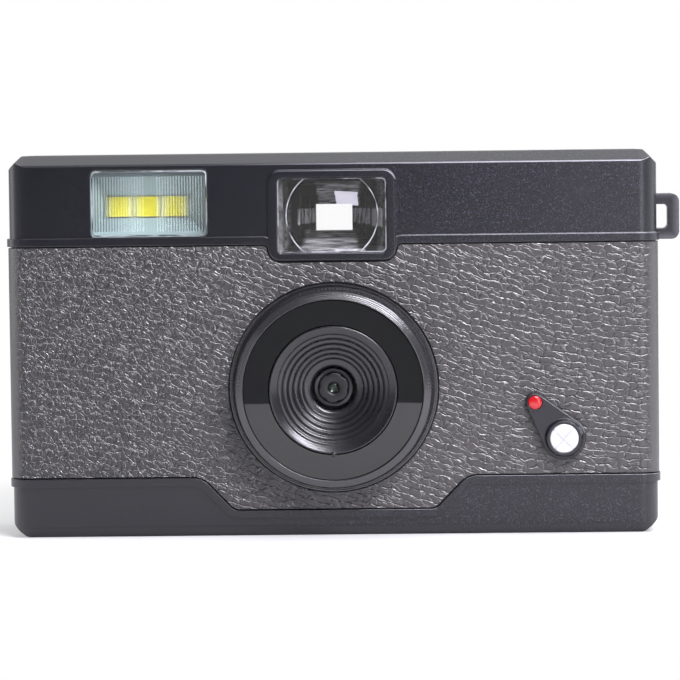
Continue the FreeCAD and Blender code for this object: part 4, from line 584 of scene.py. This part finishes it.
def lamp_finish():
    """Yellow phosphor under clear resin, paler towards each lamp's ends, with a faint painted
    glow.
    """
    graph = Graph("lamp_finish")
    place = graph.place(origin=LAMP_MIDDLE)
    across, _, _ = graph.parts(place)
    lamp_pitch = 4.85
    along = (across / lamp_pitch + 0.5).math("FRACT") - 0.5
    ends = abs(along).between(0.20, 0.40) * abs(across).between(1.0, 2.0)
    grain = graph.noise(place, 2.2, 2.0) * 0.2
    color = graph.blend(ends * 0.8 + grain, (0.54, 0.46, 0.005), (0.54, 0.51, 0.20))
    return graph.finish(
        graph.surface(
            Base_Color=color,
            Roughness=0.5,
            IOR=1.3,
            # A faint painted glow; the lamps are not lit.
            Emission_Color=color,
            Emission_Strength=0.05,
        )
    )


def lug_finish():
    """Black moulding with a painted highlight along its outline."""
    graph = Graph("lug_finish")
    place = graph.place()
    across, _, up = graph.parts(place)
    low, high = node_box("strap_lug")
    outline = (high[0] - across).smaller(high[2] - up).smaller(up - low[2])
    cloud = graph.noise(place, 0.9, 3.0)
    # Painted highlight along the outline.
    painted_sheen = (1.0 - outline.between(0.10, 1.50)) * (cloud * 0.6 + 0.5)
    return graph.finish(
        graph.surface(
            Base_Color=graph.blend(painted_sheen, (0.016, 0.016, 0.020), (0.085, 0.085, 0.095)),
            Roughness=0.24 + cloud * 0.05,
            Normal=graph.soft_edges(0.30),
        )
    )


def silver_finish():
    """Brushed silver cap with two faint darker crossed marks."""
    graph = Graph("silver_finish")
    place = graph.place(origin=(LEVER_X, 0.0, LEVER_Z))
    across, _, up = graph.parts(place)
    wobble = graph.noise(place, 1.6, 4.0, 0.7)
    rising = abs(across * 0.75 - up * 0.66 + (wobble - 0.5) * 0.9)
    falling = abs(across * 0.70 + up * 0.71 + (wobble - 0.5) * 0.9 + 0.2)
    mark = (1.0 - rising.smaller(falling).between(0.03, 0.34)) * wobble.between(0.34, 0.52)
    color = graph.blend(mark * 0.5, (0.66, 0.66, 0.67), (0.26, 0.26, 0.29))
    return graph.finish(
        graph.surface(Base_Color=color, Roughness=0.42 + mark * 0.2, Metallic=0.35)
    )


def seen_straight(graph):
    """1 for rays from the eye, also through clear plastic, and 0 once they have been scattered."""
    camera = graph.add("ShaderNodeLightPath", output="Is Camera Ray")
    through = graph.add("ShaderNodeLightPath", output="Is Transmission Ray")
    scattered = graph.add("ShaderNodeLightPath", output="Diffuse Depth").smaller(1.0)
    return camera.larger(through * (1.0 - scattered))


def paper_finish():
    """Pale paper. Far from the camera body it is plain white to the eye, as in the photograph."""
    graph = Graph("paper_finish")
    place = graph.place(scale=(MM, MM, MM))
    across, deep, _ = graph.parts(place)
    far = (across * across + deep * deep) ** 0.5
    paper = graph.add("ShaderNodeBsdfDiffuse", None, {"Color": (0.82, 0.82, 0.83, 1.0)})
    white = graph.add("ShaderNodeEmission", None, {"Strength": 1.0})
    share = seen_straight(graph) * (far.between(0.03, 0.16) * 0.75 + 0.25)
    return graph.finish(graph.add("ShaderNodeMixShader", None, {0: share, 1: paper, 2: white}))


FINISHES = {
    "cover": (cover_finish(), ["top_cover", "bottom_cover", "flash_switch_knob"]),
    "leather": (leather_finish(), ["front_leather", "rear_leather"]),
    "shell": (plain("shell_finish", (0.02, 0.02, 0.021), 0.55), ["front_shell", "rear_shell"]),
    "lug": (lug_finish(), ["strap_lug"]),
    "clear": (clear_finish(), ["finder_front_lens", "eyepiece_lens", "counter_window"]),
    "ribbed": (ribbed_finish(), ["flash_window"]),
    "pale_edge": (pale_edge_finish(), []),
    "tunnel": (tunnel_finish(), ["finder_tube"]),
    "frame": (plain("frame_finish", (0.015, 0.015, 0.017), 0.3, edge=0.15), ["eyepiece_frame"]),
    "reflector": (reflector_finish(), ["flash_reflector"]),
    "lamp": (lamp_finish(), ["flash_leds"]),
    "lamp_board": (plain("lamp_board_finish", (0.62, 0.62, 0.55), 0.5), ["flash_board"]),
    "ring": (ring_finish(), ["lens_flange", "lens_ring"]),
    "gloss_ring": (gloss_ring_finish(), ["lens_trim_plate"]),
    "turned_black": (turned_black_finish(), ["lens_cone"]),
    "barrel": (barrel_finish(), ["lens_barrel"]),
    "lens_glass": (
        plain("lens_glass_finish", (0.004, 0.012, 0.006), 0.03, grain=0.0, IOR=1.28),
        ["front_lens", "ir_filter"],
    ),
    "dome": (dome_finish(), []),
    "board": (
        plain("board_finish", (0.01, 0.09, 0.045), 0.35),
        ["main_board", "control_board", "rear_board"],
    ),
    "chip": (
        plain("chip_finish", (0.02, 0.02, 0.02), 0.5),
        [
            "processor", "memory_chip", "image_sensor", "lens_holder", "shutter_switch",
            "power_switch", "flash_slide_switch", "lever_switch", "lever_washer",
        ],
    ),
    "steel": (
        plain("steel_finish", (0.55, 0.55, 0.57), 0.28, 1.0),
        [
            "usb_socket", "card_socket", "shutter_spring", "lever_shaft", "top_screws",
            "shell_screws", "board_screws", "small_screws",
        ],
    ),
    "black_steel": (
        plain("black_steel_finish", (0.06, 0.06, 0.065), 0.32, 0.8, edge=0.1), ["bottom_screws"]
    ),
    "button": (
        plain("button_finish", (0.24, 0.24, 0.26), 0.38, 0.7, edge=0.15),
        ["shutter_button", "power_button"],
    ),
    "silver": (silver_finish(), ["lever_cap"]),
    "lever": (plain("lever_finish", (0.016, 0.016, 0.020), 0.26, edge=0.20), ["timer_lever"]),
    "red": (plain("red_finish", (0.46, 0.010, 0.016), 0.12, grain=0.0, IOR=1.6), ["lever_dot"]),
    "foil": (plain("foil_finish", (0.62, 0.62, 0.64), 0.3, 0.8), ["battery"]),
    "foam": (plain("foam_finish", (0.05, 0.05, 0.05), 0.9), ["battery_cushion"]),
    "ribbon": (plain("ribbon_finish", (0.50, 0.22, 0.03), 0.35), ["board_ribbon"]),
    "display": (plain("display_finish", (0.18, 0.21, 0.17), 0.3), ["counter_display"]),
    "card": (plain("card_finish", (0.03, 0.03, 0.04), 0.45), ["memory_card"]),
    "brass": (plain("brass_finish", (0.60, 0.44, 0.18), 0.3, 1.0, edge=0.1), ["tripod_bush"]),
}


def dress(obj, material):
    """Gives a piece one finish."""
    obj.data.materials.clear()
    obj.data.materials.append(material)


def dress_solids():
    """Gives every solid its finish, and stops if one is left out."""
    done = set()
    for material, names in FINISHES.values():
        for name in names:
            dress(nodes[name], material)
            done.add(name)
    left = sorted(set(nodes) - done)
    if left:
        raise RuntimeError(f"no finish for {left}")


# Forms worked out with numpy


def grid_piece(name, points, finish, body="camera_body", around=True, stands_for=None):
    """A mesh from a grid of points in millimetres, rows by columns, one face to each cell.

    With around, the last column joins the first. A first row that is one point is a closed pole.
    """
    rows, columns = points.shape[:2]
    index = np.arange(rows * columns).reshape(rows, columns)
    right = np.roll(index, -1, axis=1)
    if not around:
        index, right = index[:, :-1], right[:, :-1]
    faces = np.stack([index[:-1], right[:-1], right[1:], index[1:]], axis=-1).reshape(-1, 4)
    mesh = bpy.data.meshes.new(name)
    mesh.from_pydata((points.reshape(-1, 3) * MM).tolist(), [], faces.tolist())
    mesh.polygons.foreach_set("use_smooth", [True] * len(mesh.polygons))
    mesh.update()
    obj = bpy.data.objects.new(name, mesh)
    bpy.context.scene.collection.objects.link(obj)
    dress(obj, FINISHES[finish][0])
    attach(obj, body)
    if stands_for:
        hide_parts(stands_for)
    return obj


def smooth(value, low, high):
    """0 at low, 1 at high, and a smooth step between them."""
    share = np.clip((value - low) / (high - low), 0.0, 1.0)
    return share * share * (3.0 - 2.0 * share)


def profile_rows(corners, step):
    """Rows (radius, depth) along a line through corners, no further apart than step."""
    corners = np.array(corners, float)
    out = [corners[:1]]
    for start, end in zip(corners[:-1], corners[1:]):
        count = max(1, int(np.ceil(np.linalg.norm(end - start) / step)))
        share = np.arange(1, count + 1)[:, None] / count
        out.append(start + (end - start) * share)
    return np.vstack(out)


def turned_points(rows, columns, centre, change=None):
    """A profile turned round an axis that points to the front.

    x is the centre plus the radius times the cosine of the angle, z the centre plus the radius
    times the sine, and y the depth. change may alter radius and depth by the angle first.
    """
    angles = np.linspace(0.0, 2 * np.pi, columns, endpoint=False)[None, :]
    radius = rows[:, :1] + 0.0 * angles
    depth = rows[:, 1:] + 0.0 * angles
    if change:
        radius, depth = change(radius, depth, angles)
    return np.stack(
        [centre[0] + radius * np.cos(angles), depth, centre[1] + radius * np.sin(angles)], axis=-1
    )


# Shutter button


def build_shutter_spring():
    """The wound spring under the shutter button, built at its full height; the real spring
    flattens as the button goes down.

    Its round wire follows a helix of five turns: the centre line is the middle plus the radius
    times the cosine and sine of the angle, and it rises evenly with the angle. Each row of points
    is a circle of the wire's radius, spanned by the outward direction and the vertical.
    """
    low, high = node_box("shutter_spring")
    middle = node_middle("shutter_spring")
    wire, turns, rows_per_turn, corners, travel = 0.15, 5, 40, 10, 0.9
    coil = (high[0] - low[0]) / 2 - wire
    angle = np.linspace(0.0, turns * 2 * np.pi, turns * rows_per_turn + 1)[:, None]
    round_wire = np.linspace(0.0, 2 * np.pi, corners, endpoint=False)[None, :]
    thick = np.full(angle.shape, wire)
    thick[0], thick[-1] = POLE, POLE
    out = coil + thick * np.cos(round_wire)
    rise = (high[2] - low[2] - 2 * wire) / angle[-1, 0]
    points = np.stack(
        [
            middle[0] + out * np.cos(angle),
            middle[1] + out * np.sin(angle),
            low[2] + wire + rise * angle + thick * np.sin(round_wire),
        ],
        axis=-1,
    )
    spring = grid_piece("wound_spring", points, "steel", stands_for="shutter_spring")
    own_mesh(spring)


# Lens


def build_lens_ring():
    """The lens ring: its side is milled in fine teeth and its sloped rim is turned in grooves.

    On the milled stretch the radius loses a tooth's depth times a raised cosine of the angle. On
    the rim the depth gains a small sine of the radius, and near its outer edge a small cosine of
    the angle.
    """
    front, back = RING_FRONT, RING_BACK
    teeth, points_per_tooth, tooth_deep = 168, 4, 0.45
    groove_pitch, groove_deep, tick_deep = 0.30, 0.014, 0.016

    def cut(radius, depth, angles):
        milled = smooth(depth, front + 1.45, front + 1.70) * (radius > 16.3)
        milled = milled * (1.0 - smooth(depth, back - 0.95, back - 0.7))
        tooth = 0.5 - 0.5 * np.cos(teeth * angles)
        rim = smooth(radius, 15.76, 15.84) * (1.0 - smooth(radius, 16.48, 16.58))
        rim = rim * (depth < front + 0.9)
        grooves = groove_deep * rim * np.sin(radius * 2 * np.pi / groove_pitch)
        ticks = tick_deep * smooth(radius, 16.10, 16.25) * rim
        return radius - tooth_deep * milled * tooth, depth + grooves + ticks * tooth

    side = profile_rows(
        [
            (17.36, back - 0.05), (17.35, back - 0.60), (17.32, back - 0.70), (17.30, back - 0.95),
            (16.84, front + 1.70), (16.80, front + 1.55), (16.75, front + 1.45),
            (16.68, front + 1.36), (16.56, front + 1.34), (16.50, front + 1.25),
            (16.50, front + 1.10), (16.60, front + 1.00), (16.62, front + 0.86),
        ],
        2.0,
    )
    rim = profile_rows([(16.60, front + 0.74), (15.74, front + 0.14)], 0.040)
    lip = profile_rows(
        [
            (15.68, front + 0.07), (15.62, front + 0.02), (15.56, front), (15.50, front + 0.02),
            (15.44, front + 0.08), (15.40, front + 0.17), (15.385, front + 0.30),
            (15.38, front + 1.25), (11.15, front + 1.25), (11.15, front + 2.40),
            (13.60, front + 2.40), (13.60, back), (17.30, back), (17.36, back - 0.05),
        ],
        9.0,
    )
    rows = np.vstack([side, rim, lip])
    points = turned_points(rows, teeth * points_per_tooth, (LENS_X, LENS_Z), cut)
    grid_piece("lens_ring_milled", points, "ring", stands_for="lens_ring")


def build_lens_cone():
    """The stepped cone: a rounded rim, a smooth slope, and worn steps that end round the hole.

    Along the steps the depth is a straight slope plus a sine of the radius, which fades out
    before the hole.
    """
    low, high = node_box("lens_cone")
    front, back = low[1], high[1]
    outside = (high[0] - low[0]) / 2
    hole, start, flat, end = 3.85, outside - 1.36, 4.95, 4.27
    pitch, ripple, slope_rows = 0.90, 0.080, 90
    top, fall, floor_fall, floor = front + 0.60, 3.48, 0.12, front + 4.20
    rim = np.array([
        (hole, back), (outside - 0.02, back), (outside - 0.02, front + 0.40),
        (outside, front + 0.26), (outside - 0.05, front + 0.10), (outside - 0.14, front + 0.02),
        (outside - 0.24, front), (outside - 0.34, front + 0.02), (outside - 0.46, front + 0.07),
        (outside - 0.70, front + 0.20), (outside - 0.95, front + 0.34),
        (outside - 1.18, front + 0.48),
    ])
    radius = np.linspace(start, end, slope_rows)
    share = (start - radius) / (start - flat)
    straight = top + fall * np.minimum(share, 1.0)
    straight += floor_fall * np.maximum(share - 1.0, 0.0) * (start - flat) / (flat - end)
    waves = np.sin((start - radius) * 2 * np.pi / pitch) * smooth(radius, flat - 0.1, flat + 0.5)
    slope = np.stack([radius, straight + ripple * waves * smooth(share, 0.0, 0.03)], axis=1)
    mouth = np.array([
        (hole + 0.24, floor + 0.10), (hole + 0.12, floor + 0.18), (hole + 0.04, floor + 0.28),
        (hole, floor + 0.45), (hole, back),
    ])
    rows = np.vstack([rim, slope, mouth])
    points = turned_points(rows, 256, (LENS_X, LENS_Z))
    grid_piece("lens_cone_turned", points, "turned_black", stands_for="lens_cone")


def build_cone_pip():
    """A moulding pip on the cone's rim.

    It is a low dome: its height is the root of one less the square of the radius.
    """
    low, high = node_box("lens_cone")
    outer, tall = 0.42, 0.30
    centre = (LENS_X, LENS_Z - (high[0] - low[0]) / 2 - 0.02)
    radius = np.array([POLE, 0.12, 0.22, 0.30, 0.36, 0.40, outer, outer])
    height = tall * np.sqrt(np.clip(1.0 - (radius / outer) ** 2, 0.0, 1.0))
    depth = low[1] + 0.05 - height
    depth[-1] = low[1] + 0.30
    points = turned_points(np.stack([radius, depth], axis=1), 24, centre)
    grid_piece("lens_cone_pip", points, "turned_black")


def build_barrel():
    """The lens barrel: its face has six worn notches for a pin wrench.

    The face's radius loses a notch's depth times a high power of a raised cosine of the angle.
    """
    low, high = node_box("lens_barrel")
    front, back = low[1], high[1]
    pupil = PUPIL + 0.04
    notches, notch_deep, notch_turn = 6, 0.24, 0.9

    def notch(radius, depth, angles):
        share = (0.5 + 0.5 * np.cos(notches * angles + notch_turn)) ** 3
        outer = smooth(radius, 2.1, 2.6) * (depth < front + 0.6)
        return radius - notch_deep * share * outer, depth

    corners = [
        (1.60, back), (3.28, back), (3.28, front + 0.98), (3.20, front + 0.92),
        (2.74, front + 0.90), (2.68, front + 0.84), (2.66, front + 0.30), (2.60, front + 0.12),
        (2.46, front + 0.02), (2.30, front), (1.34, front), (1.22, front + 0.03),
        (pupil + 0.08, front + 0.12), (pupil, front + 0.22), (pupil, front + 0.70),
        (1.60, front + 0.70), (1.60, back),
    ]
    points = turned_points(profile_rows(corners, 0.5), 144, (LENS_X, LENS_Z), notch)
    grid_piece("lens_barrel_notched", points, "barrel", stands_for="lens_barrel")


def build_front_lens():
    """The small front lens: a clear dome over a hollow dark bowl, both parts of spheres.

    Their rise is the root of the sphere's radius squared less the radius squared.
    """
    front = node_box("lens_barrel")[0][1]
    share = np.array([POLE, 0.15, 0.3, 0.45, 0.6, 0.72, 0.84, 0.93, 1.0])
    radius = share * PUPIL
    sphere = 1.55
    rise = np.sqrt(sphere ** 2 - radius ** 2) - np.sqrt(sphere ** 2 - PUPIL ** 2)
    centre = (LENS_X, LENS_Z)
    dome = np.stack([radius, front + 0.42 - rise], axis=1)
    dome = np.vstack([dome, [(PUPIL, front + 0.44), (POLE, front + 0.44)]])
    bowl = np.stack([radius, front + 0.46 + rise], axis=1)
    bowl = np.vstack([bowl, [(PUPIL, front + 1.0), (POLE, front + 1.0)]])
    grid_piece(
        "front_lens_dome", turned_points(dome, 48, centre), "dome",
        stands_for="front_lens",
    )
    grid_piece("front_lens_bowl", turned_points(bowl, 48, centre), "lens_glass")


# Front lever


def build_lever_dot():
    """The red dot: a button with a nearly flat top and a rounded edge.

    Its height is a power of one less the fourth power of the radius.
    """
    outer, tall = 1.19, 0.40
    radius = np.array([
        POLE, 0.25, 0.5, 0.7, 0.85, 0.95, 1.02, 1.08, 1.12, 1.15, 1.175, outer, outer,
    ])
    height = tall * np.clip(1.0 - (radius / outer) ** 4, 0.0, 1.0) ** 0.4
    depth = DOT_FRONT + 0.05 - height
    depth[-1] = DOT_FRONT + 0.40
    points = turned_points(np.stack([radius, depth], axis=1), 48, (DOT_X, DOT_Z))
    grid_piece("lever_dot_dome", points, "red", body="lever", stands_for="lever_dot")


# Window edges


def rounded_path(half_x, half_z, corner, turns=8):
    """Points and outward directions round a rounded rectangle, one quarter turn to a corner."""
    angles = np.linspace(0.0, np.pi / 2, turns)
    path, outward = [], []
    for quarter, (side_x, side_z) in enumerate(((1, 1), (-1, 1), (-1, -1), (1, -1))):
        turn = angles + quarter * np.pi / 2
        direction = np.stack([np.cos(turn), np.sin(turn)], axis=1)
        middle = np.array([side_x * (half_x - corner), side_z * (half_z - corner)])
        path.append(middle + corner * direction)
        outward.append(direction)
    return np.vstack(path), np.vstack(outward)


def build_window_edge(node, inset, corner, radius):
    """A bead along a window's front edge: a small circle carried round a rounded rectangle."""
    low, high = node_box(node)
    middle = (low + high) / 2
    half = (high - low) / 2
    path, outward = rounded_path(half[0] - inset, half[2] - inset, corner - inset)
    turn = np.linspace(0.0, 2 * np.pi, 10, endpoint=False)[:, None]
    along = path[None, :, :] + radius * np.cos(turn)[:, :, None] * outward[None, :, :]
    depth = low[1] + radius * np.sin(turn) + 0.0 * path[None, :, 0]
    points = np.stack([middle[0] + along[..., 0], depth, middle[2] + along[..., 1]], axis=-1)
    points = np.concatenate([points, points[:1]], axis=0)
    grid_piece(node + "_edge", points, "pale_edge")


def build_finder_arc(name, middle_angle):
    """A light bead on the edge of the finder's dish, a painted highlight: a small circle carried
    along an arc.

    The small circle shrinks to a point at both ends of the arc.
    """
    arc_radius, half_sweep, bead = 7.87, math.radians(54.0), 0.13
    sweep = np.linspace(-half_sweep, half_sweep, 60)
    thick = bead * np.sqrt(np.clip(1.0 - (sweep / half_sweep) ** 16, 0.0, 1.0)) + POLE
    angle = (middle_angle + sweep)[:, None]
    turn = np.linspace(0.0, 2 * np.pi, 10, endpoint=False)[None, :]
    radius = arc_radius + thick[:, None] * np.cos(turn)
    depth = node_box("finder_front_lens")[0][1] + 0.10 + thick[:, None] * np.sin(turn)
    points = np.stack(
        [
            FINDER_MIDDLE[0] + radius * np.cos(angle),
            depth + 0.0 * angle,
            FINDER_MIDDLE[2] + radius * np.sin(angle),
        ],
        axis=-1,
    )
    grid_piece(name, points, "pale_edge")


# Stage, light and camera


def build_stage():
    """A sheet of pale paper under the camera body, which ends a little in front of it."""
    side, front, back = 1.6, -0.32, 2.4
    corners = [(-side, front, 0.0), (side, front, 0.0), (side, back, 0.0), (-side, back, 0.0)]
    mesh = bpy.data.meshes.new("paper")
    mesh.from_pydata(corners, [], [(0, 1, 2, 3)])
    paper = bpy.data.objects.new("paper", mesh)
    bpy.context.scene.collection.objects.link(paper)
    dress(paper, paper_finish())


def build_world():
    """A white backdrop behind the camera body and a dim room in front of it.

    Where the eye looks past everything, or through clear plastic, it is white.
    """
    world = bpy.data.worlds.new("studio")
    bpy.context.scene.world = world
    graph = Graph("studio", world)
    _, behind, _ = graph.parts(graph.add("ShaderNodeTexCoord", output="Generated"))
    room = behind.between(-0.60, 0.25) * 0.66 + 0.082
    level = room.larger(seen_straight(graph))
    background = graph.add(
        "ShaderNodeBackground", None, {"Color": (1.0, 1.0, 1.0, 1.0), "Strength": level}
    )
    graph.add("ShaderNodeOutputWorld", None, {"Surface": background})


def area_light(name, place, target, size, power, color):
    """A soft rectangular lamp that faces a point. Sizes are in metres and power in watts."""
    data = bpy.data.lights.new(name, "AREA")
    data.shape = "RECTANGLE"
    data.size, data.size_y = size
    data.energy = power
    data.color = color
    lamp = bpy.data.objects.new(name, data)
    bpy.context.scene.collection.objects.link(lamp)
    lamp.location = place
    lamp.rotation_euler = (Vector(target) - Vector(place)).to_track_quat("-Z", "Y").to_euler()


def build_lights():
    """A key lamp at the upper right, one overhead, a low panel, and one beyond each end."""
    middle = (0.0, 0.0, 0.035)
    violet, blue, pale_blue = (0.93, 0.91, 1.0), (0.96, 0.97, 1.0), (0.96, 0.98, 1.0)
    area_light("key", (0.20, -0.35, 0.365), middle, (0.28, 0.12), 4.1, violet)
    area_light("overhead", (0.05, 0.05, 0.95), middle, (0.8, 0.6), 3.6, blue)
    area_light("low", (0.30, -0.85, 0.08), middle, (0.22, 0.50), 1.6, violet)
    area_light("left_end", (-0.70, 0.10, 0.14), middle, (0.40, 0.60), 1.2, pale_blue)
    area_light("right_end", (0.70, 0.10, 0.14), middle, (0.40, 0.60), 0.7, pale_blue)


def build_camera():
    """The view of the photograph: 0.6 m away, a little to the right and above, and rolled."""
    distance, focal, sensor = 0.600, 181.0, 36.0
    target = Vector((0.92 * MM, 0.0, 33.12 * MM))
    around, rise, roll = math.radians(1.10), math.radians(3.39), math.radians(-0.67)
    back = Vector(
        (math.sin(around) * math.cos(rise), -math.cos(around) * math.cos(rise), math.sin(rise))
    )
    right = Vector((math.cos(around), math.sin(around), 0.0))
    up = back.cross(right)
    rolled_right = right * math.cos(roll) + up * math.sin(roll)
    rolled_up = up * math.cos(roll) - right * math.sin(roll)
    data = bpy.data.cameras.new("photo_camera")
    data.lens = focal
    data.sensor_width = sensor
    data.clip_start = 0.01
    data.clip_end = 20.0
    camera = bpy.data.objects.new("photo_camera", data)
    bpy.context.scene.collection.objects.link(camera)
    matrix = Matrix((rolled_right, rolled_up, back)).transposed().to_4x4()
    matrix.translation = target + back * distance
    camera.matrix_world = matrix
    bpy.context.scene.camera = camera


dress_solids()
build_shutter_spring()
build_lens_ring()
build_lens_cone()
build_cone_pip()
build_barrel()
build_front_lens()
build_lever_dot()
build_window_edge("flash_window", 0.24, 1.0, 0.11)
build_window_edge("finder_front_lens", 0.16, 0.9, 0.09)
build_finder_arc("finder_arc_right", 0.0)
build_finder_arc("finder_arc_left", math.pi)
build_stage()
build_world()
build_lights()
build_camera()
bpy.context.scene.view_settings.view_transform = "Standard"
